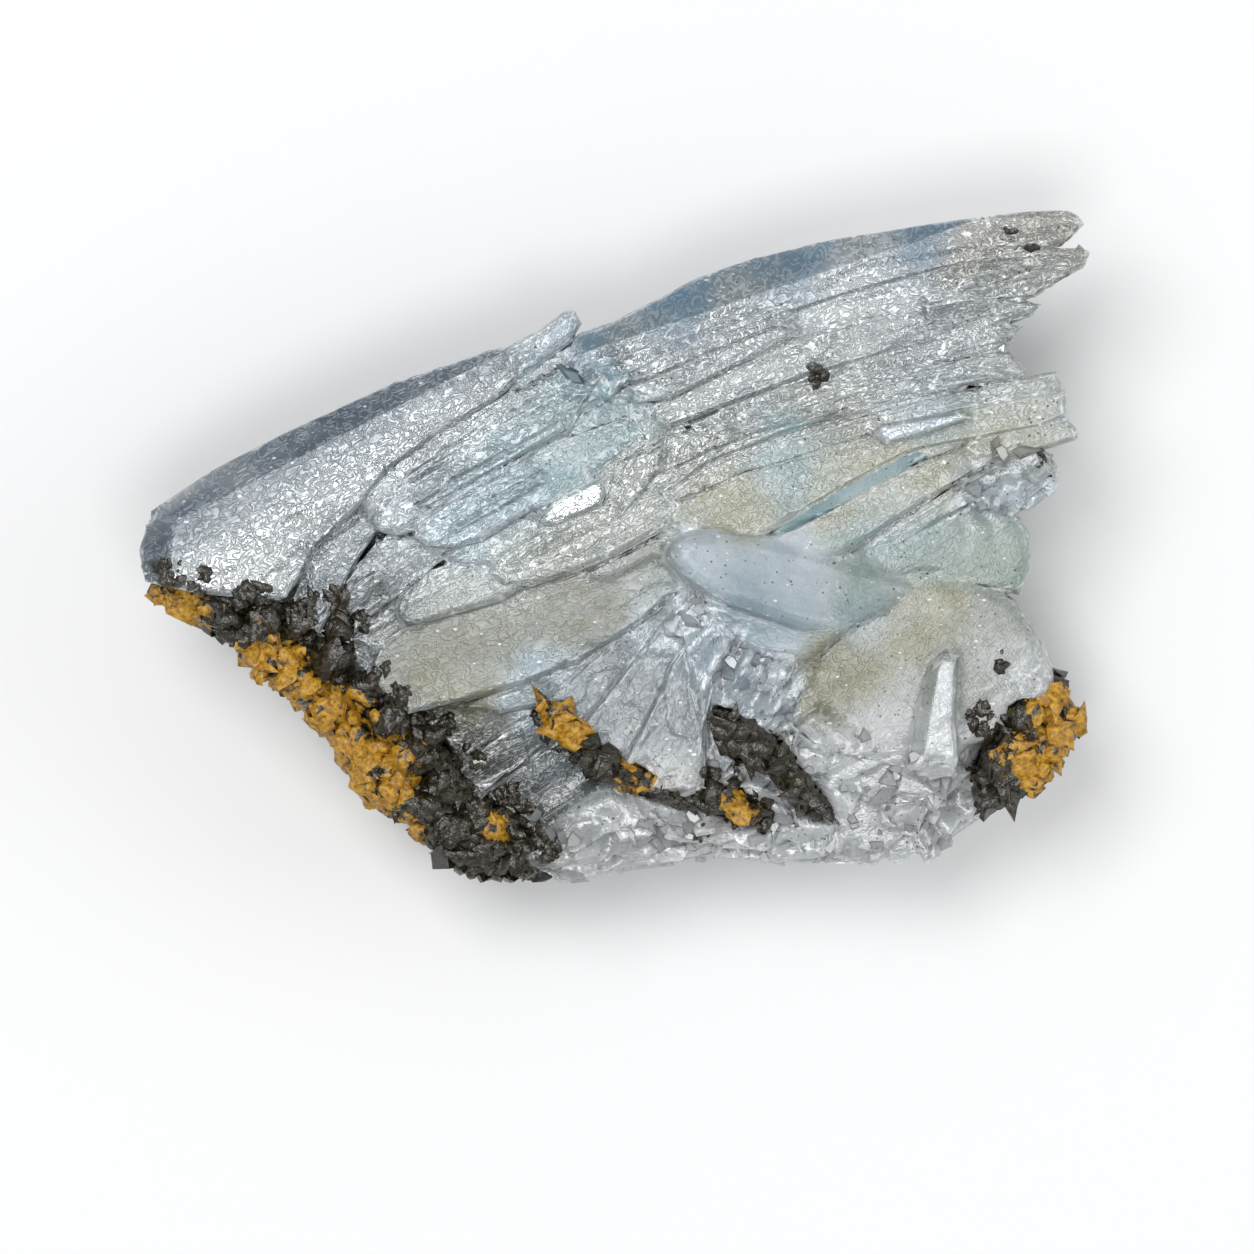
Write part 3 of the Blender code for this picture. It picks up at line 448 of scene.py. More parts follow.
def lay_out_faces(bm):
    """For each crystal face: its middle, lean, the turns of its lean, and its steepness."""
    layer = bm.faces.layers.int["crystal_face"]
    number = np.array([face[layer] for face in bm.faces])
    centres = np.array([face.calc_center_median() for face in bm.faces]) / MM
    area = np.array([face.calc_area() for face in bm.faces]) / MM ** 2
    upright = np.array([abs(face.normal.z) for face in bm.faces])

    def total(amounts):
        return np.bincount(number, weights=amounts * area, minlength=face_count + 1)

    whole = np.maximum(total(1.0), 1e-9)
    middles = np.column_stack([total(centres[:, axis]) / whole for axis in range(3)])
    cosine, sine = blend_spots(centres)[:, LEAN].T
    lean = np.arctan2(total(sine), total(cosine))
    apart = centres - middles[number]
    along = apart[:, 0] * np.cos(lean[number]) + apart[:, 1] * np.sin(lean[number])
    across = apart[:, 1] * np.cos(lean[number]) - apart[:, 0] * np.sin(lean[number])
    turn = np.arctan2(sine, cosine) - lean[number]
    long_way = total(along ** 2) + STIFFNESS * whole
    cross_way = total(across ** 2) + STIFFNESS * whole
    both_ways = total(along * across)
    turn_along, turn_across = total(along * turn), total(across * turn)
    share = long_way * cross_way - both_ways ** 2
    bend = np.clip((turn_along * cross_way - turn_across * both_ways) / share, -MOST_BEND, MOST_BEND)
    fan = np.clip((turn_across * long_way - turn_along * both_ways) / share, -MOST_FAN, MOST_FAN)
    return middles, lean, bend, fan, 1.0 - total(upright) / whole


middles, leans, bends, fans, steepness = lay_out_faces(barite)


def growth_places(places, number):
    """Millimetres along and across the growth lines, and a third number that differs for each face."""
    apart = places - middles[number]
    cosine, sine = np.cos(leans[number]), np.sin(leans[number])
    along = apart[:, 0] * cosine + apart[:, 1] * sine
    across = apart[:, 1] * cosine - apart[:, 0] * sine
    across = (across - 0.5 * bends[number] * along ** 2) * np.exp(-np.clip(fans[number] * along, -0.7, 0.7))
    return np.column_stack([along, across + steepness[number] * places[:, 2], number * 3.7])


print("growth lines bend by up to", round(math.degrees(abs(bends).max()), 2), "degrees a millimetre")

# %% [markdown]
# ## Growth laths
#
# Seen closely, a barite blade is a stack of thin laths that overlap like roof tiles. Stretched Voronoi
# cells give their outlines. Each lath has its own height, all tilt the same way, and where two meet, the
# height runs from one to the other. Where the barite broke, shorter cells lean in all directions, as broken
# ice does. The skin's last two numbers say how strong both kinds of relief are.

# %% Push the laths in
LATH_LENGTH = 9.0
LATH_WIDTH = 1.7
LATH_HEIGHT = 0.40
LATH_TILT = 0.24
LATH_RIM = 0.22
LUMP_LENGTH = 3.6
LUMP_WIDTH = 2.2
LUMP_HEIGHT = 0.7
LUMP_TILT = 1.5
LUMP_RIM = 0.10
LEAST_RELIEF = 0.02  # anything weaker is left out
WALL_STEEPNESS = 0.7  # 0 on a level face and 1 on an upright wall
WALL_LATHED = 0.7  # the laths of the steep walls: the ends of the blades' layers


def lath_height(place, tile):
    """How high the lath around a tile stands at a place, where both are in lath lengths and widths."""
    return (noise.cell(tile * 9.7) - 0.5) * LATH_HEIGHT + (place.y - tile.y) * LATH_TILT


def lump_height(place, tile):
    """How high the broken lump around a tile stands at a place: a flat facet that leans its own way."""
    lean_along, lean_across = noise.cell(tile * 5.1) - 0.5, noise.cell(tile * 7.3) - 0.5
    slope = (place.x - tile.x) * lean_along + (place.y - tile.y) * lean_across
    return (noise.cell(tile * 9.7) - 0.5) * LUMP_HEIGHT + slope * LUMP_TILT


def tiled(place, height, rim):
    """The height of the tile at a place, run into the next tile's over the rim between them."""
    distances, tiles = noise.voronoi(place)
    share = 0.5 + 0.5 * min(1.0, (distances[1] - distances[0]) / rim)
    return height(place, tiles[0]) * share + height(place, tiles[1]) * (1.0 - share)


def relief(along, across, layer, lathed, chunky):
    """The height of the laths and lumps in millimetres, at a place given in millimetres."""
    bend = noise.noise(Vector((along * 0.06, across * 0.15, layer)))
    total = 0.08 * lathed * noise.noise(Vector((along * 0.30, across * 0.8, layer)))
    if lathed > LEAST_RELIEF:
        laths = Vector((along / LATH_LENGTH, across / LATH_WIDTH + 0.7 * bend, layer))
        total += lathed * tiled(laths, lath_height, LATH_RIM)
    if chunky > LEAST_RELIEF:
        lumps = Vector((along / LUMP_LENGTH, across / LUMP_WIDTH, layer))
        total += chunky * tiled(lumps, lump_height, LUMP_RIM)
    return total


def push_laths(bm):
    """Moves the mesh's corners out or in by the relief of the laths."""
    layer = bm.faces.layers.int["crystal_face"]
    corners = np.array([vert.co for vert in bm.verts]) / MM
    number = np.array([max(vert.link_faces, key=lambda face: face.normal.z)[layer] for vert in bm.verts])
    places = growth_places(corners, number)
    amounts = blend_spots(corners)[:, [LATHED, CHUNKY]]
    amounts[steepness[number] > WALL_STEEPNESS] = (WALL_LATHED, 0.0)
    moves = [vert.normal * relief(*place, *amount) * MM
             for vert, place, amount in zip(bm.verts, places, amounts)]
    for vert, move in zip(bm.verts, moves):
        vert.co += move
        vert.co = Vector(min(max(vert.co[axis], low[axis]), high[axis]) for axis in range(3))
    bm.normal_update()


push_laths(barite)
print(len(barite.verts), "corners pushed")

# %% [markdown]
# ## Faces that stand out
#
# A few single faces catch the eye: a flat mirror in the middle, whose near-white tint is partly a painted
# reflection, a box-shaped crystal, the white prism and the teal groove. A ray dropped onto each of them
# finds its number.

# %% Pick single faces
ACCENTS = [  # right, down, colour, skin
    # The mirror's near-white tint is partly a painted reflection, on top of its glassy skin's real one.
    (57.4, 50.2, "mirror", "glassy"), (91.0, 43.0, "ice", "clear"), (94.2, 71.0, "white", "plain"),
    (84.5, 49.4, "teal", "frosted"),
]


def face_under(tree, bm, right, down):
    """The number of the crystal face that lies on top at a place of the sheet."""
    index = tree.ray_cast(sheet(right, down, 60.0), DOWN)[2]
    return bm.faces[index][bm.faces.layers.int["crystal_face"]]


barite.faces.ensure_lookup_table()
pushed = BVHTree.FromBMesh(barite)
accents = {face_under(pushed, barite, *accent[:2]): spot_row(*accent[2:])[:6] for accent in ACCENTS}
barite_mesh = bpy.data.meshes.new("barite_blades")
barite.to_mesh(barite_mesh)
barite.free()
print(len(accents), "faces picked")

# %% [markdown]
# ## What the material needs to know
#
# The material reads from the mesh: the tint, the skin (etched, frosted, silver), the place along and
# across the growth lines, how sharp the nearest edge is, and where a gap was closed. The last two steer
# painted highlights along convex edges and painted light in concave creases and closed gaps. The first
# three are kept for each triangle's corners, so that two faces that meet at an edge can differ.


# %% Attributes on the corners
OWN_PLACE = 0.85  # a corner's own share in its place on the sheet; the face's middle has the rest
CLOSED_AT = 1.2  # corners lifted by this many millimetres count as wholly closed


def corner_attribute(mesh, name, values):
    made = mesh.attributes.new(name, "FLOAT_VECTOR", "CORNER")
    made.data.foreach_set("vector", np.ascontiguousarray(values, dtype=np.float32).ravel())


def point_attribute(mesh, name, values):
    made = mesh.attributes.new(name, "FLOAT", "POINT")
    made.data.foreach_set("value", np.ascontiguousarray(values, dtype=np.float32))


def corners_of(mesh):
    """The mesh's vertices in millimetres."""
    places = np.empty(len(mesh.vertices) * 3)
    mesh.vertices.foreach_get("co", places)
    return places.reshape(-1, 3) / MM


def sharpness(mesh, limit=18.0):
    """1 at convex edges, -1 at concave ones and 0 elsewhere, for each vertex."""
    bm = bmesh.new()
    bm.from_mesh(mesh)
    value = np.zeros(len(bm.verts))
    for edge in bm.edges:
        if len(edge.link_faces) == 2:
            bend = edge.calc_face_angle_signed(0.0)
            if abs(bend) > math.radians(limit):
                strength = min(1.0, abs(bend) / 0.8) * (1 if bend > 0 else -1)
                for vert in edge.verts:
                    if abs(strength) > abs(value[vert.index]):
                        value[vert.index] = strength
    bm.free()
    return value


def chance(number, seed):
    """A number from 0 to 1 that differs for each crystal face."""
    return np.modf(np.abs(np.sin(number * 12.9898 + seed) * 43758.5))[0]


def dress_crystal(mesh):
    """Writes the attributes that the barite's material reads."""
    loops = np.empty(len(mesh.loops), dtype=np.int32)
    mesh.loops.foreach_get("vertex_index", loops)
    places = corners_of(mesh)[loops]
    number = np.empty(len(mesh.polygons), dtype=np.int32)
    mesh.attributes["crystal_face"].data.foreach_get("value", number)
    number = np.repeat(number, 3)
    values = blend_spots(OWN_PLACE * places + (1.0 - OWN_PLACE) * middles[number])
    for face, row in accents.items():
        values[number == face, :6] = row
    corner_attribute(mesh, "tint", values[:, TINT] * (0.92 + 0.16 * chance(number, 0.0))[:, None])
    corner_attribute(mesh, "skin", values[:, SKIN])
    corner_attribute(mesh, "growth_place", growth_places(places, number))
    point_attribute(mesh, "sharpness", sharpness(mesh))
    point_attribute(mesh, "closed", np.clip(lifted_by / CLOSED_AT, 0.0, 1.0))
    mesh.attributes.remove(mesh.attributes["crystal_face"])


dress_crystal(barite_mesh)
print([attribute.name for attribute in barite_mesh.attributes])

# %% [markdown]
# ## Barite, part clear and part milky
#
# Blue barite lets light in, but in the thick blades veils of tiny bubbles and cleavage cracks scatter it
# back before it comes out on the other side, so they are milky. The thin splinters are part clear, and
# tint the light that goes through them. The skin is the difficult half: the etched faces are covered with
# wrinkles finer than the mesh can hold, which break a reflection into the silvery glitter that barite is
# known for. They are a pattern of bumps in each face's own coordinates, with painted shade in their
# troughs and painted highlights on their crests. Painted glints, painted highlights along the edges and
# painted light in the creases add to it.


# %% Helpers for materials
def new_material(name):
    made = bpy.data.materials.new(name)
    made.use_nodes = True
    made.node_tree.nodes.clear()
    return made, Tree(made.node_tree)


def attribute(tree, name, out="Vector"):
    return tree.add("ShaderNodeAttribute", {"attribute_name": name}, out=out)


def scaled(tree, place, factors):
    return tree.add("ShaderNodeVectorMath", {"operation": "MULTIPLY"}, {0: place, 1: factors})


def noise_at(tree, place, scale, detail=2.0, distortion=0.0, roughness=0.5):
    return tree.add("ShaderNodeTexNoise", None, {"Vector": place, "Scale": scale, "Detail": detail,
                                                 "Distortion": distortion, "Roughness": roughness})


def mix_colour(tree, share, first, second, blend="MIX"):
    node = tree.group.nodes.new("ShaderNodeMix")
    node.data_type, node.blend_type = "RGBA", blend
    for key, value in ((0, share), (6, first), (7, second)):
        if isinstance(value, Wire):
            tree.group.links.new(value.socket, node.inputs[key])
        else:
            node.inputs[key].default_value = value
    return Wire(tree, node.outputs[2])


def finish_material(tree, surface, volume=None):
    output = tree.group.nodes.new("ShaderNodeOutputMaterial")
    tree.group.links.new(surface.socket, output.inputs["Surface"])
    if volume:
        tree.group.links.new(volume.socket, output.inputs["Volume"])


# %% The barite material
# Painted light: the pale colour marks painted highlights on crests and edges and painted light in creases,
# and the glint colour marks painted glints. The milk colour is the mineral's own milky veils.
MILK, PAINTED_LIGHT, GLINT = (0.56, 0.59, 0.60, 1.0), (0.80, 0.83, 0.85, 1.0), (0.88, 0.90, 0.91, 1.0)
# The dark colour is both the mineral's own dark patches and painted shade along the growth streaks and in the
# wrinkles' troughs. The speck colour is its real dark specks.
DARK, SPECK = (0.11, 0.14, 0.15, 1.0), (0.05, 0.04, 0.028, 1.0)
GLINTS_A_METRE, SPECKS_A_METRE = 820.0, 1400.0


def barite_colour(tree, here, etched, laths, streaks, ridges):
    """The barite's colour: tint, milky clouds, dark patches and specks, and painted shade, light and glints.
    """
    edge, closed = attribute(tree, "sharpness", "Fac"), attribute(tree, "closed", "Fac")
    clouds = noise_at(tree, here, 130.0, 2.0, 0.6)
    patches = noise_at(tree, here, 420.0, 1.0, 0.8)
    shades = mix_colour(tree, laths, (0.86, 0.86, 0.86, 1.0), (1.12, 1.12, 1.12, 1.0))
    colour = mix_colour(tree, etched, attribute(tree, "tint", "Color"), shades, "MULTIPLY")
    colour = mix_colour(tree, clouds.between(0.42, 0.72) * 0.30, colour, MILK)
    colour = mix_colour(tree, patches.between(0.60, 0.34) * 0.16, colour, DARK)
    shadows = streaks.between(0.50, 0.30) * (etched * 0.22 + 0.04)
    colour = mix_colour(tree, shadows, colour, DARK)
    # Painted shade in the wrinkles' troughs and painted highlights on their crests, on top of their bumps.
    colour = mix_colour(tree, ridges.between(-0.1, -0.9) * etched * 0.26, colour, DARK)
    colour = mix_colour(tree, ridges.between(0.2, 1.0) * etched * 0.32, colour, PAINTED_LIGHT)
    # Painted highlights: dashed bright lines along the convex edges.
    broken = edge.between(0.2, 0.9) * streaks.between(0.42, 0.56)
    colour = mix_colour(tree, broken * 0.55, colour, PAINTED_LIGHT)
    # Painted light: concave creases and closed gaps are lightened, standing in for light that comes through
    # the translucent mineral.
    crease_light = (edge * -1.0).between(0.1, 0.8) * 0.30 + closed * 0.08
    colour = mix_colour(tree, crease_light, colour, PAINTED_LIGHT)
    glint = tree.add("ShaderNodeTexVoronoi", None,
                     {"Vector": scaled(tree, here, (0.8, 1.5, 1.0)), "Scale": GLINTS_A_METRE})
    bright = patches * 0.42 - 0.12
    colour = mix_colour(tree, (glint < bright) * 0.6, colour, GLINT)
    speck = tree.add("ShaderNodeTexVoronoi", None, {"Vector": here, "Scale": SPECKS_A_METRE})
    right = tree.add("ShaderNodeSeparateXYZ", None, {0: here})
    crowd = clouds + right * 2.5
    size = patches * 0.36 - 0.05
    return mix_colour(tree, (speck < size) * (crowd > 0.50) * 0.8, colour, SPECK)


def barite_material(name, clearness, density):
    """Barite that is see-through to the given share. With a density, it tints the light inside it."""
    made, tree = new_material(name)
    here = tree.add("ShaderNodeTexCoord", out="Object")
    place = attribute(tree, "growth_place")
    skin = tree.add("ShaderNodeSeparateXYZ", None, {0: attribute(tree, "skin")})
    etched, frosted, silver = skin.outputs(0, 1, 2)

    laths = tree.add("ShaderNodeTexVoronoi", None,
                     {"Vector": scaled(tree, place, (0.16, 1.25, 1.0)), "Scale": 1.0}, out="Color")
    streaks = noise_at(tree, scaled(tree, place, (0.12, 1.5, 1.0)), 1.0, 2.0, 0.3, 0.6)
    wrinkles = noise_at(tree, scaled(tree, place, (0.95, 1.35, 1.0)), 1.0, 1.0, 0.8)
    ridges = (wrinkles * 25.0).maths("SINE")
    worn = noise_at(tree, here, 230.0, 1.0, 0.4).between(0.36, 0.60)
    grit = noise_at(tree, here, 3600.0, 0.0)

    colour = barite_colour(tree, here, etched, laths, streaks, ridges)
    height = ridges * etched * 0.040 + streaks * (etched * 0.10 + 0.04) + laths * etched * 0.05
    height = height + grit * frosted * 0.02
    bump = tree.add("ShaderNodeBump", None, {"Strength": 1.0, "Distance": MM, "Height": height})
    principled = tree.add("ShaderNodeBsdfPrincipled", None, {
        "Base Color": colour, "Roughness": 0.12 + frosted * 0.42 + worn * 0.06, "Normal": bump,
        "Metallic": silver * (0.30 + worn * 0.50), "IOR": 1.64, "Transmission Weight": clearness,
        "Subsurface Weight": 0.75 - 0.75 * clearness, "Subsurface Scale": 3.0 * MM,
        "Subsurface Radius": (1.0, 1.15, 1.25),
        "Coat Weight": etched * 0.35, "Coat Roughness": 0.14, "Coat IOR": 1.6})
    absorption = density and tree.add("ShaderNodeVolumeAbsorption", None,
                                      {"Color": (0.72, 0.84, 0.88, 1.0), "Density": density})
    finish_material(tree, principled, absorption)
    return made


BARITE = barite_material("blue_barite", 0.0, 0.0)
CLEAR_BARITE = barite_material("clear_barite", 0.35, 60.0)
print(BARITE.name, "has", len(BARITE.node_tree.nodes), "nodes")


# %% Show the blades in place of the solid
BLADE_CREASE = 28.0  # degrees


def piece(name, mesh, surface, body="root"):
    """A finished piece of the object, at the origin."""
    made = bpy.data.objects.new(name, mesh)
    bpy.context.scene.collection.objects.link(made)
    mesh.materials.clear()
    mesh.materials.append(surface)
    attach(made, body)
    return made


def smooth_but_sharp(mesh, limit):
    """Smooth shading, with edges sharper than limit degrees kept crisp."""
    mesh.shade_smooth()
    mesh.set_sharp_from_angle(angle=math.radians(limit))


smooth_but_sharp(barite_mesh, BLADE_CREASE)
blades = piece("barite_blades", barite_mesh, BARITE)
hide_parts("barite_cluster")
print("the blades have", len(barite_mesh.polygons), "triangles")

# %% [markdown]
# ## Iron oxide
#
# The crusts are goethite and limonite: glossy black-brown grit with powdery ochre on the outer side.
# Both are one material. Where the ochre lies is a list of patches, and noise frays their edges.

# %% The crust material
OCHRE_PATCHES = [(18, 60, 2.6), (27, 67, 3.0), (33, 72, 3.8), (38, 77, 3.4), (41, 83, 1.8), (49, 83, 1.4),
                 (56.4, 72, 2.4), (64, 77.5, 1.8), (74, 80.5, 1.4), (105.5, 72, 2.6), (103.5, 76, 2.6)]


def share_inside(places, patches, soft=0.6):
    """How far each place is inside the round patches (right, down, reach), from 0 to 1."""
    share = np.zeros(len(places))
    for right, down, reach in patches:
        apart = np.linalg.norm(places[:, :2] - np.array(sheet(right, down)[:2]) / MM, axis=1) / reach
        share = np.maximum(share, np.clip((1.0 + soft - apart) / soft, 0.0, 1.0))
    return share


def crust_material():
    made, tree = new_material("iron_oxide")
    here = tree.add("ShaderNodeTexCoord", out="Object")
    patchy = noise_at(tree, here, 520.0, 4.0, 0.8)
    share = (attribute(tree, "ochre", "Fac") + patchy * 2.0).between(1.72, 1.90)
    fine = noise_at(tree, here, 1900.0, 3.0)
    dark = mix_colour(tree, fine.between(0.35, 0.75), (0.008, 0.007, 0.004, 1.0), (0.058, 0.046, 0.024, 1.0))
    light = mix_colour(tree, fine.between(0.3, 0.7), (0.27, 0.115, 0.004, 1.0), (0.60, 0.33, 0.015, 1.0))
    colour = mix_colour(tree, share, dark, light)
    height = fine * 0.5 + patchy * 0.4
    bump = tree.add("ShaderNodeBump", None, {"Strength": 0.9, "Distance": MM * 0.5, "Height": height})
    principled = tree.add("ShaderNodeBsdfPrincipled", None, {
        "Base Color": colour, "Roughness": 0.26 + share * 0.26, "Normal": bump, "IOR": 1.65})
    finish_material(tree, principled)
    return made


IRON = crust_material()


# %% Rough up the crusts
CRUST_EDGE = 0.55
CRUST_CREASE = 30.0


def crust_piece(node, name):
    """A crust with its grain, in place of its solid."""
    bm = merged_copy(node)
    refine(bm, lambda edge: CRUST_EDGE * MM)
    start, end = (Vector(corner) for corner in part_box(node))
    moves = []
    for vert in bm.verts:
        place = vert.co / MM
        chips = noise.voronoi(place * 0.75)[0]
        rough = (chips[1] - chips[0]) * 0.9 - 0.45 + noise.noise(place * 2.1) * 0.35
        moves.append(vert.normal * rough * MM)
    for vert, move in zip(bm.verts, moves):
        vert.co += move
        vert.co = Vector(min(max(vert.co[axis], start[axis]), end[axis]) for axis in range(3))
    mesh = bpy.data.meshes.new(name)
    bm.to_mesh(mesh)
    bm.free()
    smooth_but_sharp(mesh, CRUST_CREASE)
    point_attribute(mesh, "ochre", share_inside(corners_of(mesh), OCHRE_PATCHES))
    made = piece(name, mesh, IRON)
    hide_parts(node)
    return made


CRUSTS = {"iron_crust_edge": "edge_crust", "iron_crust_corner": "corner_crust", "iron_vein_left": "left_vein",
          "iron_vein_right": "right_vein"}
crusts = [crust_piece(node, name) for node, name in CRUSTS.items()]
print([(crust.name, len(crust.data.polygons)) for crust in crusts])

# %% [markdown]
# ## Small bits by the thousand
#
# Both minerals are covered with bits too small and too many to place by hand: curled flakes of iron oxide
# on the crusts, crumbs of it that climb onto the barite, and splinters where the barite broke. A single
# Geometry Nodes tree makes all of them. It scatters points over a surface where a density attribute
# allows them, stands one of a few small shapes on each and turns it at random.


# %% A few small shapes
def small_shape(name, sides, thickness, taper, uneven, stretch=1.0):
    """A flat or long bit about 1 unit across: a ring of uneven corners below a smaller one."""
    bm = bmesh.new()
    rings = []
    for level, size in ((-0.5, 1.0), (0.5, taper)):
        ring = []
        for side in range(sides):
            angle = math.tau * side / sides
            reach = 0.5 * size * (1.0 + uneven * math.sin(side * 2.4 + sides))
            curl = 0.25 * math.sin(angle * 2.0) * thickness
            height = level * thickness + curl
            ring.append(bm.verts.new((math.cos(angle) * reach * stretch, math.sin(angle) * reach, height)))
        rings.append(ring)
    bm.faces.new(rings[0][::-1])
    bm.faces.new(rings[1])
    for side in range(sides):
        after = (side + 1) % sides
        bm.faces.new((rings[0][side], rings[0][after], rings[1][after], rings[1][side]))
    mesh = bpy.data.meshes.new(name)
    bm.to_mesh(mesh)
    bm.free()
    return mesh


def shelf(name, meshes):
    """A collection that holds the shapes for the tree to pick from, outside the scene."""
    collection = bpy.data.collections.new(name)
    for mesh in meshes:
        collection.objects.link(bpy.data.objects.new(mesh.name, mesh))
    return collection


FLAKES = shelf("flakes", [
    small_shape("flake_wide", 8, 0.24, 0.80, 0.30),
    small_shape("flake_long", 7, 0.30, 0.60, 0.40, 1.6),
    small_shape("grain", 7, 0.70, 0.60, 0.25, 1.2),
])
SPLINTERS = shelf("splinters", [
    small_shape("splinter_long", 4, 0.35, 0.55, 0.20, 2.2),
    small_shape("splinter_flat", 5, 0.30, 0.65, 0.40, 1.5),
    small_shape("splinter_block", 6, 0.50, 0.60, 0.25, 1.3),
])

# %% [markdown]
# The tree's inputs are the surface, the shapes, how many bits stand on a square metre, their smallest and
# largest size, how far they tilt, the seed and the finish. The attribute "bits" says where they may stand.
# Each bit keeps the attributes of its place, so a splinter has the colour of the barite under it.


# %% The scattering tree
def scatter_tree():
    """The Geometry Nodes tree that covers a surface with bits."""
    group = bpy.data.node_groups.new("scatter_bits", "GeometryNodeTree")
    face = group.interface
    face.new_socket("Surface", in_out="INPUT", socket_type="NodeSocketGeometry")
    for name, kind in (("Shapes", "Collection"), ("Density", "Float"), ("Smallest", "Float"),
                       ("Largest", "Float"), ("Tilt", "Float"), ("Seed", "Int"), ("Finish", "Material")):
        face.new_socket(name, in_out="INPUT", socket_type="NodeSocket" + kind)
    face.new_socket("Bits", in_out="OUTPUT", socket_type="NodeSocketGeometry")
    tree = Tree(group)
    given = tree.add("NodeGroupInput")
    surface, shapes, density, smallest, largest, tilt, seed, finish = given.outputs(
        "Surface", "Shapes", "Density", "Smallest", "Largest", "Tilt", "Seed", "Finish")

    allowed = tree.add("GeometryNodeInputNamedAttribute", {"data_type": "FLOAT"}, {"Name": "bits"})
    points = tree.add("GeometryNodeDistributePointsOnFaces", None,
                      {"Mesh": surface, "Density": allowed * density, "Seed": seed})
    turned, = points.outputs("Rotation")
    spin = tree.add("FunctionNodeRandomValue", {"data_type": "FLOAT_VECTOR"},
                    {"Min": (-1.0, -1.0, -3.14), "Max": (1.0, 1.0, 3.14), "Seed": seed})
    lean = tree.add("ShaderNodeVectorMath", {"operation": "MULTIPLY"}, {0: spin, 1: tree.add(
        "ShaderNodeCombineXYZ", None, {"X": tilt, "Y": tilt, "Z": 1.0})})
    turned = tree.add("FunctionNodeRotateRotation", {"rotation_space": "LOCAL"},
                      {"Rotation": turned, "Rotate By": lean})
    size = tree.add("FunctionNodeRandomValue", {"data_type": "FLOAT"},
                    {2: smallest, 3: largest, "Seed": seed + 7.0}, out=1)
    shelf_shapes = tree.add("GeometryNodeCollectionInfo", None,
                            {"Collection": shapes, "Separate Children": True, "Reset Children": True})
    bits = tree.add("GeometryNodeInstanceOnPoints", None, {
        "Points": points, "Instance": shelf_shapes, "Pick Instance": True, "Rotation": turned, "Scale": size})
    real = tree.add("GeometryNodeRealizeInstances", None, {0: bits})
    painted = tree.add("GeometryNodeSetMaterial", None, {"Geometry": real, "Material": finish})
    output = group.nodes.new("NodeGroupOutput")
    group.links.new(painted.socket, output.inputs[0])
    return group


SCATTER = scatter_tree()
print(SCATTER.name, "has", len(SCATTER.nodes), "nodes")


# %% Use the tree
FLAKE_CREASE, SPLINTER_CREASE = 95.0, 20.0


def scattered(name, surface, allowed, finish, slot, **inputs):
    """A piece made of bits that stand on a surface mesh, where allowed isn't 0."""
    base = surface.copy()
    point_attribute(base, "bits", allowed)
    holder = bpy.data.objects.new(name + "_holder", base)
    bpy.context.scene.collection.objects.link(holder)
    modifier = holder.modifiers.new("bits", "NODES")
    modifier.node_group = SCATTER
    keys = {item.name: item.identifier for item in SCATTER.interface.items_tree if item.in_out == "INPUT"}
    for given, value in {**inputs, "Finish": finish}.items():
        modifier[keys[given]] = value
    evaluated = holder.evaluated_get(bpy.context.evaluated_depsgraph_get())
    mesh = bpy.data.meshes.new_from_object(evaluated)
    mesh.name = name
    bpy.data.objects.remove(holder, do_unlink=True)
    bpy.data.meshes.remove(base)
    start, end = box_at_start
    for vert in mesh.vertices:
        vert.co = Vector(min(max(vert.co[axis], start[axis]), end[axis]) for axis in range(3))
    smooth_but_sharp(mesh, FLAKE_CREASE if finish is IRON else SPLINTER_CREASE)
    return piece(name, mesh, finish)


def fray(places, share, scale, least):
    """Makes a share patchy, with noise whose patches are 1 / scale millimetres wide."""
    patchy = np.array([noise.noise(Vector(place) * scale) for place in places])
    return np.clip((share + patchy * 1.2 - least) / (1.0 - least), 0.0, 1.0) * (share > 0.0)


# %% Flakes on the crusts
OCHRE_IN_GAPS = 0.4  # between the flakes the crust is mostly dark
for number, crust in enumerate(crusts):
    facing = np.array([max(0.15, vert.normal.z) for vert in crust.data.vertices])
    flakes = scattered(crust.name + "_flakes", crust.data, facing, IRON, "iron_oxide", Shapes=FLAKES,
                       Density=1.3e6, Smallest=0.8 * MM, Largest=2.8 * MM, Tilt=0.45, Seed=number)
    for value in crust.data.attributes["ochre"].data:
        value.value *= OCHRE_IN_GAPS
    print(flakes.name, len(flakes.data.polygons), "faces")

# %% Crumbs and splinters on the barite
CRUMB_PATCHES = [
    (17, 57.2, 1.3), (21, 58.6, 1.3), (25, 60.2, 1.8), (28.6, 61.2, 1.5), (32.5, 60.8, 1.8),
    (35.3, 62.2, 1.4), (38.6, 67.6, 1.3), (40, 69.6, 1.0), (43.5, 72.6, 1.6), (47, 76.5, 1.8),
    (51, 81, 2.0), (54, 85, 1.6), (54, 71, 0.9), (57, 75, 1.0), (62, 78, 1.3), (68, 79.5, 1.2),
    (71.5, 80.5, 0.8), (75, 81, 1.2), (73, 72, 1.1), (77, 75, 1.5), (81, 80, 1.1), (99, 72, 1.7),
    (98.6, 77, 1.6), (100.8, 66, 1.0), (72, 76, 0.9), (70.9, 77, 0.7), (74.5, 75.6, 1.0),
    (76.6, 74.4, 0.8), (79.4, 76, 0.9), (82.6, 81.6, 0.8), (73.5, 79.6, 0.9), (76, 81.6, 1.2),
    (70, 79.6, 0.9), (70.3, 83.2, 0.6), (59.6, 75.6, 0.8), (55, 73, 0.8), (100.5, 23, 0.6),
    (103.3, 25.3, 0.5), (82, 37.5, 0.6), (104, 45.8, 0.6),
]
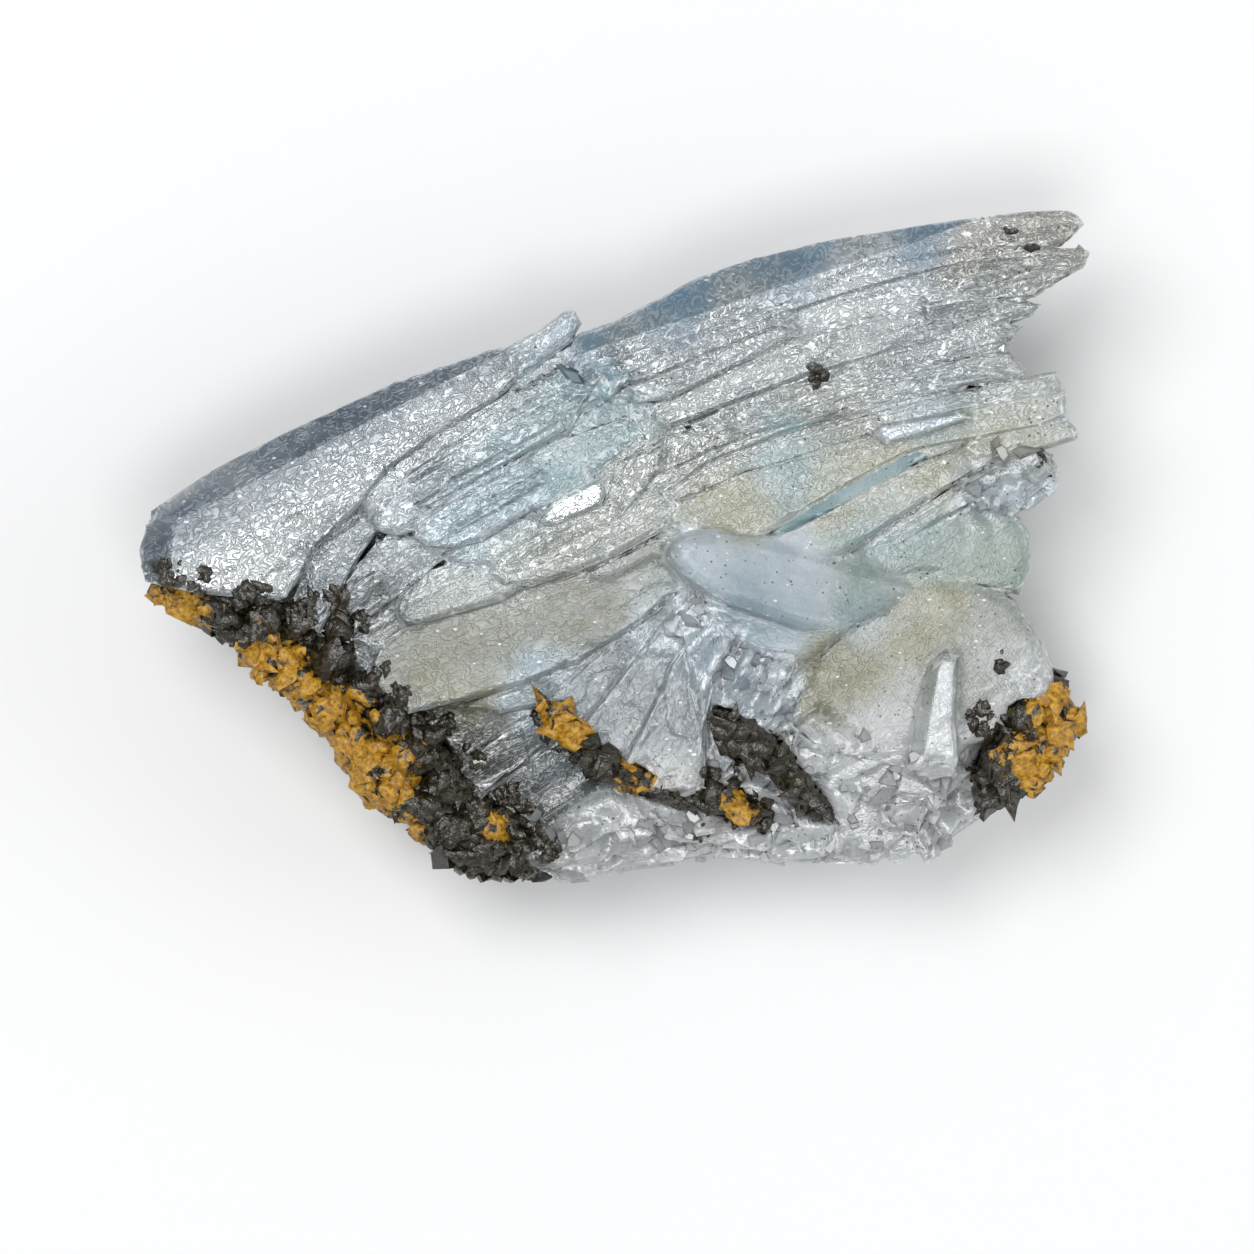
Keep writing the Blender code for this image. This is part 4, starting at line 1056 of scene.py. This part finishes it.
BROKEN_PATCHES = [
    (58, 85, 4.0), (66, 83.5, 5.0), (75, 82, 5.0), (84, 81, 5.0), (92, 81, 4.0), (97, 79, 3.0),
    (101, 47.5, 3.0), (69, 62, 2.4), (73, 66, 3.0), (76, 71, 3.0), (72, 76, 2.4), (88, 76.5, 3.0),
    (58.5, 38, 1.6), (46, 82, 3.0), (101, 34, 1.2),
]
places = corners_of(barite_mesh)
upright = np.array([max(0.0, vert.normal.z) for vert in barite_mesh.vertices])
crumbs = fray(places, share_inside(places, CRUMB_PATCHES, 0.3), 0.6, 0.70) * upright
splinters = fray(places, share_inside(places, BROKEN_PATCHES, 0.6), 0.5, 0.45) * upright
crumb_piece = scattered(
    "crumbs", barite_mesh, crumbs, IRON, "iron_oxide",
    Shapes=FLAKES, Density=4.0e6, Smallest=0.4 * MM, Largest=1.5 * MM, Tilt=0.6, Seed=21)
splinter_piece = scattered(
    "splinters", barite_mesh, splinters, CLEAR_BARITE, "barite",
    Shapes=SPLINTERS, Density=0.22e6, Smallest=0.5 * MM, Largest=2.0 * MM, Tilt=0.25, Seed=34)
print(len(crumb_piece.data.polygons), "crumb faces and", len(splinter_piece.data.polygons), "splinter faces")

# %% [markdown]
# ## The table, the light and the camera
#
# The cluster lies on its back on a white table and the camera looks straight down at its front, from
# more than a metre away so that the blades aren't distorted. The etched faces mirror two soft boxes above
# them, one to the picture's upper left and one towards its lower edge. A third one, on the right, fills the
# shadows.

# %% Table
floor_mesh = bpy.data.meshes.new("table")
floor_bm = bmesh.new()
bmesh.ops.create_grid(floor_bm, x_segments=1, y_segments=1, size=3.0)
floor_bm.to_mesh(floor_mesh)
floor_bm.free()
table, table_tree = new_material("white_table")
finish_material(table_tree, table_tree.add("ShaderNodeBsdfPrincipled", None, {
    "Base Color": (0.86, 0.86, 0.86, 1.0), "Roughness": 0.7}))
floor_mesh.materials.append(table)
floor = bpy.data.objects.new("table", floor_mesh)
bpy.context.scene.collection.objects.link(floor)


# %% Lights
def soft_box(name, place, aim, size, power):
    lamp = bpy.data.lights.new(name, "AREA")
    lamp.shape, lamp.size, lamp.size_y = "RECTANGLE", *size
    lamp.energy = power
    made = bpy.data.objects.new(name, lamp)
    bpy.context.scene.collection.objects.link(made)
    made.location = place
    made.rotation_euler = (Vector(place) - Vector(aim)).to_track_quat("Z", "Y").to_euler()
    return made


soft_box("key", (-0.24, 0.24, 1.0), (0, 0, 0.02), (0.45, 0.45), 5.0)
soft_box("overhead", (0.02, -0.22, 1.15), (0, 0, 0.02), (0.42, 0.26), 3.4)
soft_box("side", (0.8, 0.1, 0.5), (0, 0, 0.02), (0.5, 0.5), 1.6)
world = bpy.data.worlds.new("studio")
world.use_nodes = True
world.node_tree.nodes["Background"].inputs["Color"].default_value = (0.90, 0.92, 0.94, 1.0)
world.node_tree.nodes["Background"].inputs["Strength"].default_value = 0.47
bpy.context.scene.world = world
bpy.context.scene.view_settings.view_transform = "Standard"

# %% Camera
FIELD = 125.4  # how many millimetres of the sheet the camera sees, side to side
FRONT_HEIGHT = 26.0
DISTANCE = 1200.0
lens = bpy.data.cameras.new("camera")
lens.sensor_width = 36.0
lens.lens = lens.sensor_width * DISTANCE / FIELD
lens.clip_start, lens.clip_end = 0.05, 20.0
camera = bpy.data.objects.new("camera", lens)
bpy.context.scene.collection.objects.link(camera)
camera.location = sheet(FIELD / 2, FIELD / 2, FRONT_HEIGHT + DISTANCE)
bpy.context.scene.camera = camera
print("lens", round(lens.lens, 1), "mm")
